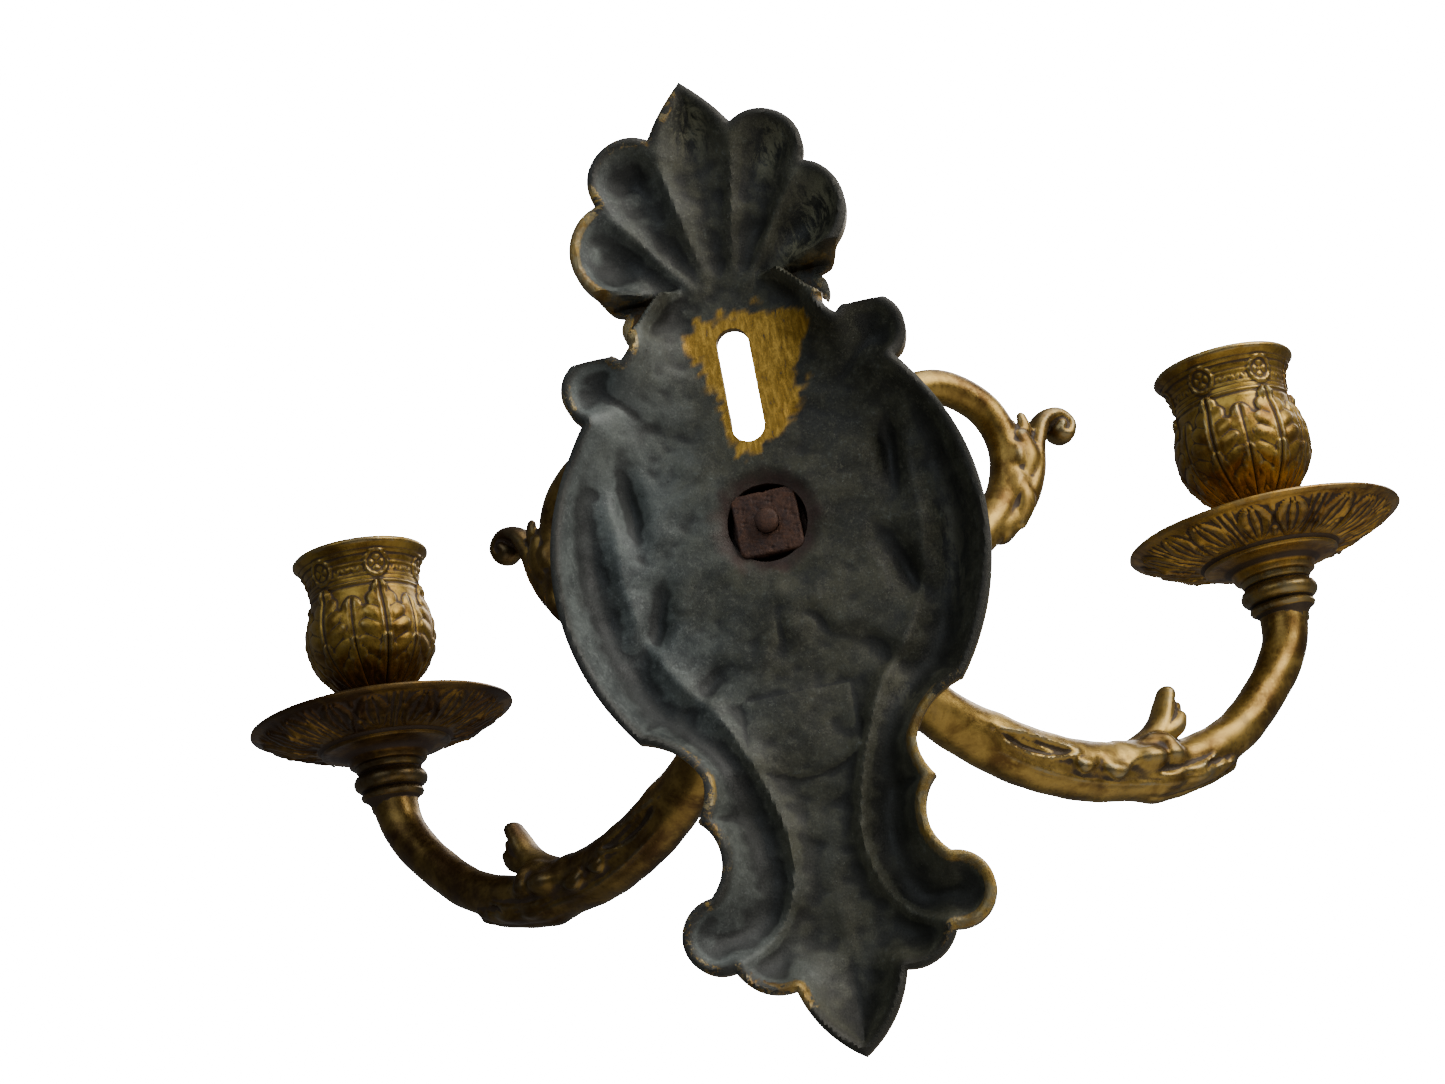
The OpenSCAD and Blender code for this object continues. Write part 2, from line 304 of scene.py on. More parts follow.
# Creases between the crest's lobes, in the right half
CREASES = [
    [(9.2, 88.5), (7.4, 78), (5.4, 68), (3.2, 57)],
    [(23.2, 75), (16.6, 67.5), (11, 60), (6.2, 53.8)],
]
NECK_EDGE = [(10, 55), (13.5, 52), (18.5, 46), (22.4, 40.6)]
SCROLL = [(30.5, 34), (36, 27), (38.6, 12), (38.8, -5), (36.6, -20), (31, -33), (23.8, -43), (18, -53),
          (15, -64), (14.8, -75), (18.6, -83.5), (25.5, -85.3)]
SCROLL_INNER = [(26, 33), (28.5, 24), (31.5, 10), (32, -6), (29.6, -19), (24.5, -30.5), (17, -40),
                (12.5, -50),
                (9.6, -58), (7.4, -69), (8.8, -79), (14, -87), (21.5, -91.5)]


# Small dents in the hollow below the nut, as strength, place, half sizes and tilt
DENTS = [(1, (-2.5, -26), 6, 2.2, 15), (1, (5, -27), 5, 1.8, -20), (-1, (1.5, -24), 5, 1.2, 0),
         (-1, (-7, -24), 5, 1.4, 30)]
# Paler parts of the patina, and stretches of the edge where gold crept over, in the same way
CHALKY = [
    (0.9, (25, 24), 27, 19, 10), (0.15, (30, -22), 34, 14, 0), (0.75, (2, -84), 30, 20, 0),
    (0.7, (-22, -56), 30, 14, 20), (0.5, (20, -104), 16, 12, 0), (0.3, (0, 74), 30, 22, 0),
]
CREPT = [
    (1, (-27, -72), 34, 14, 12), (0.8, (27, 66), 16, 12, 10), (0.7, (20, 46), 9, 9, 0),
         (0.6, (-21, 46), 6, 6, 0),
    (0.5, (26, -64), 26, 9, -15), (0.5, (14, -98), 9, 16, 0), (0.5, (8, 92), 9, 6, -30),
         (0.4, (36, 32), 6, 6, 0),
]
# Pale residue, the same on both sides of the middle line but kept only at -X
RESIDUE = [
    (0.9, (17, 80), 6, 4, 25), (0.95, (24, 64), 8, 5, 40), (0.6, (17, 57), 6, 3, 50),
           (0.35, (36, -14), 14, 4, 0),
    (0.35, (22, -44), 12, 3, -35),
]


def plate_outline():
    """Points (x, z) round the plate's edge, from the stud's axis."""
    half = []
    at = CREST
    for via, end in ARCS:
        half += arc(at, via, end, 0.55)
        at = end
    right = [CREST] + half
    return right + [(-x, z) for x, z in half[-2::-1]]


def plate_relief(x, z, inward):
    """Height of the hollow back, 0 on the wall and negative forwards, from a point's place and its
    distance inwards from the outline."""
    u = np.abs(x)
    p = np.stack([u, z], 1)
    rim = 1.5 + 0.30 * ripple(p, 31, 3)
    floor = DISH * (1 - np.exp(-(np.maximum(inward - rim, 0) / 4.8) ** 1.15))
    # The scrolls' ends and the crest's lobes are shallower dishes
    shallow = np.clip(0.50 * spot(p, (33, 34), 8, 8, 0) + 0.50 * spot(p, (25.5, -85.5), 9, 9, 0)
                      + 0.30 * ease(58, 72, z), 0, 0.6)
    back = -floor * (1 - shallow)
    # The crest's lobes are dished between creases that rise almost to the rim
    for crease in CREASES:
        d, t = along(p, flowing(crease, 8))
        width = np.interp(t, [0, 1], [3.0, 2.2])
        rise = np.interp(t, [0, 0.35, 1], [0.90, 0.60, 0.14]) * np.exp(-(d / width) ** 1.4)
        back = back * (1 - rise) - 1.3 * rise
    # The scrolls down the sides, and the pockets behind their leaves
    back -= 2.4 * stroke(p, SCROLL, 4.2, (0.3, 1, 1, 1, 1, 0.4))
    d, t = along(p, flowing(SCROLL_INNER, 8))
    back += np.interp(t, [0, 0.2, 0.45, 0.6, 0.85, 1], [0.3, 1.2, 1.9, 2.8, 3.2, 1.4]) * np.exp(
        -(d / np.interp(t, [0, 0.5, 1], [3.4, 2.6, 1.8])) ** 1.3)
    back -= 3.6 * spot(p, (28.2, 9.5), 8.5, 2.7, 6)
    back -= 3.4 * spot(p, (27.0, -17), 9.5, 3.0, -22)
    back -= 1.8 * spot(p, (18.5, -33), 8, 3, -42)
    # The broad leaf from the nut down to the pendant
    back += 0.8 * stroke(p, [(0, -62), (0, -80), (0, -104)], 2.6, (0.2, 1, 0.4))
    back -= 1.1 * spot(p, (7.5, -93), 8, 4.5, -30)
    back += 0.9 * stroke(p, [(0, -17), (9, -21), (15, -29), (17, -38)], 3.0, (1, 0.7, 0.6, 0.2))
    # Unevenness that isn't mirrored
    q = np.stack([x, z], 1)
    inside = ease(2, 6, inward)
    back += inside * (0.40 * ripple(q, 24, 11) + 0.20 * ripple(q, 10, 12) + 0.07 * ripple(q, 3.6, 13))
    back += inside * 0.5 * spots(q, DENTS)
    # Beside the neck the hollow has its own edge, and the small leaf outside it lies far forward
    side = ((u - 10) * (55 - 40.6) + (z - 55) * (22.4 - 10)) / math.hypot(12.4, 14.4)
    d, t = along(p, flowing(NECK_EDGE, 6))
    neck = ease(39.5, 42.5, z) * (1 - ease(52.5, 55, z))
    edge_here = neck * hump(d, 1.5)
    back = back * (1 - 0.85 * edge_here) - 2.2 * 0.85 * edge_here
    beyond = neck * ease(1.2, 2.6, side)
    leaf = -9.4 + 1.0 * spot(p, (21.3, 48), 3.4, 2.0, 0) + 0.7 * spot(p, (21, 43.2), 1.8, 1.6, 0)
    back = back * (1 - beyond) + leaf * beyond
    # Founder's pad, left blank: a low tablet with a straight top and a rounded foot
    px, pz = x - 0.8, z + 46
    upright = np.maximum(pz, -pz * 0.9 + (px / 11) ** 2 * 3)
    tablet = (1 - ease(10.4, 11.6, np.abs(px))) * (1 - ease(7.6, 8.8, upright))
    back += 0.55 * tablet
    # The flat round the hanging slot
    flat = 1 - ease(6, 12, np.hypot(x, np.maximum(np.abs(z - 31.0) - 10, 0)))
    back = back * (1 - flat) + (-DISH + 0.2) * flat
    # The hollow falls softly to the nut's well
    back -= 1.5 * (1 - ease(8.0, 12.5, np.hypot(x, z)))
    # Rounded lip of the rim
    lip = np.clip(1 - inward / 1.1, 0, 1) ** 2
    return np.minimum(back, -0.02) - 0.55 * lip * (1 - beyond), beyond


def plate_front(x, z, inward, back, beyond):
    """Height of the ornamented front over the same places."""
    u = np.abs(x)
    p = np.stack([u, z], 1)
    swell = EDGE + 4.6 * (1 - np.exp(-np.maximum(inward, 0) / 2.6))
    body = np.maximum(swell, -back + WALL)
    front = -body
    # Lobes of the crest: a pointed bead up the middle of each, and a sunk line round it
    for line, width in (([(0, 93), (0, 76), (0, 60)], 1.5), ([(16.5, 82), (11.5, 70), (7, 60)], 1.4),
                        ([(24.5, 63.5), (16.5, 60), (10, 54.5)], 1.4)):
        front -= 1.3 * stroke(p, line, width, (0.4, 1, 0.6)) * (1 - beyond)
    for crease in CREASES:
        front += 1.2 * stroke(p, crease, 1.3, (1, 1, 0.3))
    # Scrolls: a round moulding with a fillet on each side, ending in eyes
    d, t = along(p, flowing(SCROLL, 8))
    front -= 1.6 * hump(d, 2.6) - 0.9 * hump(np.abs(d - 4.3), 0.8)
    for eye in ((30.8, 33.2), (25.4, -85.0)):
        r = np.hypot(u - eye[0], z - eye[1])
        front -= 1.6 * hump(r, 2.2) - 1.0 * hump(np.abs(r - 3.4), 0.8)
    # Oval field: a beaded moulding round the boss, and rays to it
    r = np.hypot(u / 0.82, z + 2)
    turn = np.arctan2(x, z + 2)
    front -= 0.9 * hump(np.abs(r - 27), 1.5) * (0.55 + 0.45 * np.cos(turn * 44))
    front += 0.8 * hump(np.abs(r - 23.6), 0.9) + 0.7 * hump(np.abs(r - 30.2), 0.9)
    ring = ease(12, 14, r) * (1 - ease(20.5, 22.5, r))
    front -= ring * 0.8 * np.abs(np.cos(turn * 8)) ** 0.7
    # Leaf that runs down to the pendant: mid rib and side veins
    front -= 1.5 * stroke(p, [(0, -38), (0, -70), (0, -110)], 1.3, (0.6, 1, 0.7))
    for k in range(6):
        z0 = -50 - 9.5 * k
        reach = 9 if k in (1, 2, 3) else 13
        front += 0.75 * stroke(p, [(0.8, z0), (reach * 0.5, z0 + 4.5), (reach, z0 + 7)], 0.75, (1, 0.9, 0))
    q = np.stack([x, z], 1)
    return front + 0.10 * ripple(q, 12, 31) + 0.05 * ripple(q, 4, 32)


def plate_blank(cell):
    """A closed sheet cut to the outline and sliced into small cells, its back and its front face apart."""
    bm = bmesh.new()
    bm.faces.new([bm.verts.new((x, 0, z)) for x, z in plate_outline()])
    for axis, low, high in ((2, -114, 99), (0, -46, 46)):
        normal = Vector((axis == 0, 0, axis == 2))
        for place in np.arange(low + 0.37 * cell, high, cell):
            bmesh.ops.bisect_plane(bm, geom=bm.verts[:] + bm.edges[:] + bm.faces[:], dist=1e-5,
                                   plane_co=normal * place, plane_no=normal)
    bmesh.ops.recalc_face_normals(bm, faces=bm.faces[:])
    back = bm.verts[:]
    bmesh.ops.extrude_face_region(bm, geom=bm.faces[:])
    return bm, back


def make_backplate():
    """The hollow casting with its boss, nut well, stud hole and hanging slot."""
    bm, back_verts = plate_blank(0.7)
    bm.verts.ensure_lookup_table()
    bm.verts.index_update()
    is_back = np.zeros(len(bm.verts), bool)
    is_back[[v.index for v in back_verts]] = True
    x = np.array([v.co.x for v in bm.verts])
    z = np.array([v.co.z for v in bm.verts])
    loop = plate_outline()
    inward, _ = along(np.stack([x, z], 1), loop + loop[:1])
    back, beyond = plate_relief(x, z, inward)
    front = plate_front(x, z, inward, back, beyond)
    front = np.maximum(np.minimum(front, back - 1.6), -ARM_SEAT + 1.0)
    y = np.where(is_back, back, front)
    for v, height in zip(bm.verts, y):
        v.co.y = height
        v.co.z += AXIS_Z
    bmesh.ops.triangulate(bm, faces=[f for f in bm.faces if len(f.verts) > 4])
    bmesh.ops.recalc_face_normals(bm, faces=bm.faces[:])
    plate = piece_from(bm, "cast_backplate")
    boss = bmesh.new()
    profile = [(0, BOSS_BACK), (BOSS_R, BOSS_BACK), (BOSS_R, ARM_SEAT - 2.2),
               (BOSS_R - 0.5, ARM_SEAT - 1.6), (BOSS_R, ARM_SEAT - 1.1),
               (BOSS_R - 0.3, ARM_SEAT), (0, ARM_SEAT)]
    turned(boss, profile, 96, (0, 0, AXIS_Z), (0, -1, 0))
    cut(plate, piece_from(boss, "tool"), "UNION")
    well = bmesh.new()
    profile = [(0, -1), (WELL_R, -1), (WELL_R, NUT_SEAT), (0, NUT_SEAT)]
    turned(well, profile, 96, (0, 0, AXIS_Z), (0, -1, 0))
    cut(plate, piece_from(well, "tool"))
    cut(plate, rod(STUD_R + 0.2, (0, -NUT_SEAT + 1, AXIS_Z), (0, -ARM_SEAT - 1, AXIS_Z)))
    slot = bmesh.new()
    bmesh.ops.create_circle(slot, cap_ends=True, segments=64, radius=SLOT_W / 2)
    for v in slot.verts:
        v.co.y += (SLOT_L - SLOT_W) / 2 * (1 if v.co.y > 0 else -1)
    bmesh.ops.rotate(slot, verts=slot.verts[:], cent=(0, 0, 0), matrix=Matrix.Rotation(math.pi / 2, 3, "X"))
    bmesh.ops.translate(slot, verts=slot.verts[:], vec=(0, 2, -SLOT_L / 2))
    ends = bmesh.ops.extrude_face_region(slot, geom=slot.faces[:])["geom"]
    bmesh.ops.translate(slot, verts=[v for v in ends if isinstance(v, bmesh.types.BMVert)], vec=(0, -26, 0))
    bmesh.ops.recalc_face_normals(slot, faces=slot.faces[:])
    cut(plate, piece_from(slot, "tool"))
    finish_plate_marks(plate)
    return plate


def finish_plate_marks(plate):
    """Marks where the plate is rim, front, gold paint, rust and pale residue."""
    co, no = shape_of(plate.data)
    x, y, z = co.T / MM
    z = z - AXIS_Z
    loop = plate_outline()
    p = np.stack([x, z], 1)
    inward, _ = along(p, loop + loop[:1])
    u = np.stack([np.abs(x), z], 1)
    _, beyond = plate_relief(x, z, inward)
    facing_back = ease(-0.15, 0.35, no[:, 1])
    mark(plate, "front", np.clip((1 - facing_back) * 1.2, 0, 1))
    mark(plate, "rim", (1 - ease(1.5, 2.6, inward)) * ease(-3.6, -1.6, y))
    # Paint round the slot: how far it reaches to each side at each height
    heights = (15.5, 18, 24, 31, 37, 39.5, 44, 46.5)
    right = np.interp(z, heights, (3.5, 6, 11.5, 13, 14, 17.5, 14, 9))
    left = np.interp(z, heights, (3, 3.8, 4.6, 6.5, 7.8, 8.6, 9.6, 7))
    across = np.where(x < 0, -x - right, x - left)
    ragged = 1.1 * ripple(p, 5.5, 41) + 0.6 * ripple(p, 2.2, 42)
    around = np.maximum(across, np.maximum(z - 47, 15.5 - z)) + ragged
    mark(plate, "paint", (1 - ease(-0.7, 0.9, around)) * facing_back)
    mark(plate, "neck", beyond)
    far = np.hypot(x, z) + 0.8 * ripple(p, 5, 43)
    mark(plate, "rust", (1 - ease(9.0, 13.0, far)) * facing_back)
    pale = spot(u, (1.5, 90), 6, 2.2, 0) * (np.abs(x) < 6) + (x < 0) * spots(u, RESIDUE)
    mark(plate, "residue", np.clip(pale, 0, 1) * facing_back)
    mark(plate, "pale", np.clip(spots(p, CHALKY), 0, 1) * facing_back)
    mark(plate, "crept", np.clip(spots(p, CREPT), 0, 1))
    mark_hollows(plate, (4, 26), (0.12, 0.8))


# ---- Arms --------------------------------------------------------------------------------------

MAIN = [(11, -11.5, 4.2), (14.5, -21, 4.8), (22, -31.5, 5.4), (33, -42.5, 5.9), (51, -52.8, 6.2),
        (70, -57.6, 6.2),
        (90, -57, 5.5), (108, -51, 5), (121.5, -40.5, 5), (129.8, -30, 5.3), (132.1, -20.5, 5.8)]
C_SCROLL = [(15.5, -5.5, 4.2), (24, -11, 4.3), (38, -9, 4.4), (52, -1, 4.4), (61, 9, 4.2), (64, 20, 4),
            (60.5, 29.5, 4), (51, 35, 4), (41.5, 34, 3.8), (35, 28, 3.5), (35.5, 21, 3.2), (41, 19.5, 3.4),
            (43.4, 23.5, 3.6)]


# Side leaves as (s, z, half height, half thickness, distance out)
SCROLL_LEAVES = [
    [(61.5, 1, 1.8, 1.3, 3.0), (64.0, 6, 2.4, 1.5, 3.9), (63.4, 10.5, 1.9, 1.2, 3.9)],
    [(65, 11, 2.0, 1.3, 3.2), (67.6, 16.5, 2.5, 1.5, 3.8), (66.8, 21.5, 1.9, 1.2, 3.7)],
    [(66, 20, 1.5, 1.3, 2.4), (68.6, 23.6, 1.8, 1.2, 2.6), (68.8, 26.8, 1.3, 1.0, 2.2)],
]
SPUR_LEAVES = [[(87.5, -50.2, 2.2, 1.7, 2.6), (91.2, -48.6, 2.1, 1.7, 2.9), (93.2, -46.4, 1.6, 1.4, 2.4)]]


def forward(s):
    """How far the middle of an arm lies from the wall, s out along it."""
    return ARM_SEAT + LAP + math.sin(SPLAY) * (math.hypot(s, BEND) - BEND)


def place(s, z, eye_mid, out=0.0):
    """A point of an arm: s out along it, z above the stud's axis, out towards the viewer's side of its
    plane."""
    root, root_end = 12.0, 40.0
    lean = (eye_mid - forward(root)) * min(1, max(0, (root_end - s) / (root_end - root)))
    return Vector((s * math.cos(SPLAY) + out * math.sin(SPLAY), -forward(s) - lean + out
                   * math.cos(SPLAY), z + AXIS_Z))


def sweep(bm, stations, steps, sides, eye_mid, relief=None, round_ends=(True, True)):
    """A bar through rows of (s, z, half height, half thickness, out), closed with rounded ends. relief
    gives extra radius from s, the place along the bar from 0 to 1, and the angle round it from its top."""
    rows = [tuple(r) + (r[2], 0.0)[len(r) - 3:] if len(r) < 5 else tuple(r) for r in stations]
    path = flowing(rows, steps)
    spots = [place(r[0], r[1], eye_mid, r[4]) for r in path]
    across = Vector((math.sin(SPLAY), math.cos(SPLAY), 0))
    n = len(spots) - 1
    rings = []
    for i, row in enumerate(path):
        t = (spots[min(i + 1, n)] - spots[max(i - 1, 0)]).normalized()
        up = t.cross(across).normalized()
        if i == 0 and round_ends[0]:
            rings += [(spots[0] - t * row[2] * math.sin(a), up, t.cross(up), row[2] * math.cos(a),
                       row[3] * math.cos(a), 0)
                      for a in (1.35, 1.05, 0.7, 0.35)]
        rings.append((spots[i], up, t.cross(up), row[2], row[3], i))
        if i == n and round_ends[1]:
            rings += [(spots[n] + t * row[2] * math.sin(a), up, t.cross(up), row[2] * math.cos(a),
                       row[3] * math.cos(a), n)
                      for a in (0.35, 0.7, 1.05, 1.35)]
    angles = np.arange(sides) * 2 * math.pi / sides
    made = bmesh.ops.create_circle(bm, cap_ends=False, segments=sides, radius=1)
    ring = made["verts"]
    edges = list({e for v in ring for e in v.link_edges})
    first = ring
    for k, (centre, up, side, a, b, i) in enumerate(rings):
        if k:
            grown = bmesh.ops.extrude_edge_only(bm, edges=edges)["geom"]
            fresh = [g for g in grown if isinstance(g, bmesh.types.BMVert)]
            edges = [g for g in grown if isinstance(g, bmesh.types.BMEdge)]
            step = {}
            for v in fresh:
                for e in v.link_edges:
                    other = e.other_vert(v)
                    if other in spokes:
                        step[spokes[other]] = v
            ring = [step[j] for j in range(sides)]
        spokes = {v: j for j, v in enumerate(ring)}
        extra = relief(path[i, 0], i / n, folded(angles)) if relief else np.zeros(sides)
        ends = math.sqrt(max(0.0, 1 - (1 - min(1, a / path[i, 2])) ** 2)) if path[i, 2] else 1
        for j, v in enumerate(ring):
            c, s = math.cos(angles[j]), math.sin(angles[j])
            v.co = centre + up * c * (a + extra[j] * ends) + side * s * (b + extra[j] * ends)
    bmesh.ops.contextual_create(bm, geom=edges)
    edges = list({e for v in first for e in v.link_edges if all(w in first for w in e.verts)})
    bmesh.ops.contextual_create(bm, geom=edges)


def folded(angle):
    """Angle from the top of a bar, 0 to 180 degrees, the same on both sides."""
    return np.abs((np.degrees(angle) + 180) % 360 - 180)


def lobe(s, angle, at_s, at_angle, long, wide):
    """A soft leaf tip on a bar's skin: at_s along it, at_angle round it, sizes in mm and degrees."""
    return np.exp(-(((s - at_s) / long) ** 2 + ((angle - at_angle) / wide) ** 2) ** 1.6)


def main_relief(s, _, a):
    """Leafage on the lower sweep: a long strap with lobed edges, an eyelet, and the cup of leaves."""
    raised = np.zeros(len(a))
    # Strap: its lower edge droops into lobes
    edge = 84 + 26 * hump(s - 61.5, 2.4) + 30 * hump(s - 69.5, 3.4) + 8 * hump(s - 55, 2.5)
    strap = ease(34, 44, s) * (1 - ease(73, 77, s))
    raised += 1.0 * strap * (1 - ease(edge - 6, edge + 4, a))
    raised += 1.0 * (lobe(s, a, 61.8, 97, 2.6, 13) + 1.2 * lobe(s, a, 69.8, 100, 3.6, 15))
    raised -= 0.6 * strap * hump(s - 65.6, 0.9) * ease(66, 86, a) * (a < edge)
    # Eyelet: a long sunk oval with a worn border
    oval = np.sqrt(((s - 50.5) / 8.2) ** 2 + ((a - 82 + (s - 50) * 0.8) / 15) ** 2)
    raised += -1.4 * (1 - ease(0.72, 1.0, oval)) + 0.45 * hump(oval - 1.12, 0.12)
    # Lower leaf: springs from a ridge on the belly and ends in tips pointing outwards
    ridge = ease(40, 54, s) * (1 - ease(78, 84, s))
    raised += 0.60 * ridge * hump(a - 124, 5)
    tips = 100.5 + 5 * hump(a - 180, 16) - 3.5 * hump(a - 158, 9) + 2.5 * hump(a - 136,
                                                                               10) - 7 * hump(a - 114, 9)
    lower = ease(76, 83, s) * (1 - ease(tips - 1.0, tips + 1.0, s)) * ease(98, 110, a)
    raised += 1.5 * lower
    raised -= 0.5 * lower * (hump(a - 158, 5) + hump(a - 118, 5))
    raised += 1.0 * (lobe(s, a, 84.5, 122, 3.0, 13) + lobe(s, a, 92, 126, 3.6, 14))
    # Cup of thick leaf tips
    raised += 1.5 * ease(71, 77, s) * (1 - ease(86, 89.5, s)) * (1 - ease(78, 98, a))
    raised += 2.3 * (lobe(s, a, 79.5, 78, 3.8, 22) + lobe(s, a, 86.3, 72, 3.4, 26) + 0.8
                     * lobe(s, a, 84.5, 36, 4.5, 20))
    raised -= 0.7 * hump(s - 83.0, 0.8) * hump(a - 80, 18)
    # Root leaf
    raised += 0.9 * (1 - ease(20, 26.2 + 6 * np.cos(np.radians(a * 3)), s)) * ease(12, 16, s)
    return raised + 0.05 * np.sin(s * 0.9 + a * 0.05) + 0.05 * np.sin(s * 0.41 - a * 0.08)


def scroll_relief(_, t, outer):
    """Leaf tips that lap over the C-scroll, and a groove round its inner turn."""
    raised = np.zeros(len(outer))
    path = t * 12
    raised += 1.3 * (lobe(path, outer, 4.15, 118, 0.30, 34) + lobe(path, outer, 4.75, 112, 0.28, 32))
    raised += 0.9 * ease(3.0, 3.5, path) * (1 - ease(4.9, 5.2, path)) * ease(112, 135, outer)
    raised -= 0.7 * (hump(path - 4.45, 0.07) + hump(path - 5.05, 0.07)) * ease(84, 118, outer)
    raised += 0.5 * ease(0.2, 0.5, path) * (1 - ease(1.3, 1.7, path)) * (0.5 + 0.5
                                                                         * np.cos(np.radians(outer * 4)))
    return raised


def side_leaves(bm, eye_mid, leaves):
    """A small leaf of each kind on both sides of an arm."""
    for out in (-1, 1):
        for leaf in leaves:
            sweep(bm, [(*row[:4], row[4] * out) for row in leaf], 6, 20, eye_mid)


def make_arm(side, lap):
    """One arm: the lower sweep, the C-scroll with its curling leaf, the spur, the eye and the collar."""
    eye_mid = ARM_SEAT + LAP * (lap + 0.5)
    bars = bmesh.new()
    sweep(bars, MAIN, 30, 72, eye_mid, main_relief, (True, False))
    sweep(bars, C_SCROLL, 22, 48, eye_mid, scroll_relief)
    # Curling leaf off the scroll, with a rolled tip
    sweep(bars, [(58, 0, 3.2, 3.8, 0), (65, 7, 3.6, 4.8, 0), (69.3, 14, 3.3, 4.6, 0),
                 (72.0, 21.0, 2.6, 3.8, 0),
                 (75.3, 26.4, 2.1, 3.3, 0), (79.6, 27.9, 2.0, 3.3, 0), (82.2, 25.6, 2.0, 3.4, 0),
                 (81, 22.9, 1.9, 3.4, 0),
                 (78.9, 23.6, 1.9, 3.3, 0), (79.6, 25.2, 1.6, 3.6, 0)], 8, 32, eye_mid)
    side_leaves(bars, eye_mid, SCROLL_LEAVES)
    # Spur leaf that stands up from the cup of leaves, and its two side lobes
    sweep(bars, [(78, -55, 4, 4.6, 0), (84.5, -51.8, 3.8, 4.6, 0), (88.6, -47.4, 2.7, 4.0, 0),
                 (91.0, -43.0, 2.2, 3.4, 0),
                 (92.4, -40.4, 2.0, 2.9, 0)], 8, 28, eye_mid)
    side_leaves(bars, eye_mid, SPUR_LEAVES)
    sweep(bars, [(90, -46, 1.6, 2.2, 0), (93.2, -44.6, 1.7, 2.2, 0), (94.2, -43.4, 1.2, 1.8, 0)], 6, 20,
          eye_mid)
    # Root: a flattened bridge from the bars to the eye
    sweep(bars, [(3, -1, 5.0, LAP * 0.49, 0), (9, -5, 5.6, LAP * 0.49, 0), (14, -9, 5.0, LAP * 0.6, 0)],
          6, 28, eye_mid)
    if side == "left":
        mirrored(bars)
    bmesh.ops.recalc_face_normals(bars, faces=bars.faces[:])
    arm = piece_from(bars, f"cast_arm_{side}")
    fuse = arm.modifiers.new("fuse", "REMESH")
    fuse.mode = "VOXEL"
    fuse.voxel_size = 0.46 * MM
    settle(arm, 60)
    eye = bmesh.new()
    low, high = ARM_SEAT + lap * LAP, ARM_SEAT + (lap + 1) * LAP
    profile = [(0, low), (EYE_R - 0.3, low), (EYE_R, low + 0.4), (EYE_R, high - 0.4), (EYE_R - 0.3, high),
               (0, high)]
    turned(eye, profile, 72, (0, 0, AXIS_Z), (0, -1, 0))
    cut(arm, piece_from(eye, "tool"), "UNION")
    sign = -1 if side == "left" else 1
    collar = bmesh.new()
    base = PAN_LOW.z - AXIS_Z - COLLAR_LOW
    profile = [(0, -3), (5.4, -3), (5.8, -1), (6.9, 0), (7.5, 0.35), (7.8, 0.9), (7.6, 1.5), (6.9, 1.95),
               (7.2, 2.3), (8.1, 2.6),
               (8.8, 3.2), (9.1, 4.1), (9.05, 4.9), (8.6, 5.8), (7.9, 6.4), (7.6, 6.8), (8.0, 7.2),
               (8.25, 7.6), (8.3, base),
               (0, base)]
    turned(collar, profile, 96, (sign * CUP_X, CUP_Y, AXIS_Z + COLLAR_LOW))
    cut(arm, piece_from(collar, "tool"), "UNION")
    cut(arm, rod(STUD_R + 0.05, (0, -ARM_SEAT + 1, AXIS_Z), (0, -CAP_SEAT - 1, AXIS_Z)))
    cut(arm, rod(STUD_R + 0.05, (sign * CUP_X, CUP_Y, CUP_STUD_LOW.z - 1),
                 (sign * CUP_X, CUP_Y, PAN_LOW.z + 1)))
    mark_hollows(arm)
    return arm


# ---- Cups and pans -----------------------------------------------------------------------------

def dense(points, spacing):
    """Fills a row of points so that none are further apart than the spacing."""
    out = [tuple(points[0])]
    for a, b in zip(points[:-1], points[1:]):
        steps = max(1, math.ceil(math.dist(a, b) / spacing))
        out += [tuple(np.array(a) + (np.array(b) - np.array(a)) * k / steps) for k in range(1, steps + 1)]
    return out


def wrapped(angle, count):
    """Angle within one of count equal shares of a turn, from -1 to 1 about the share's middle."""
    share = 2 * math.pi / count
    return ((angle + share / 2) % share - share / 2) / (share / 2)


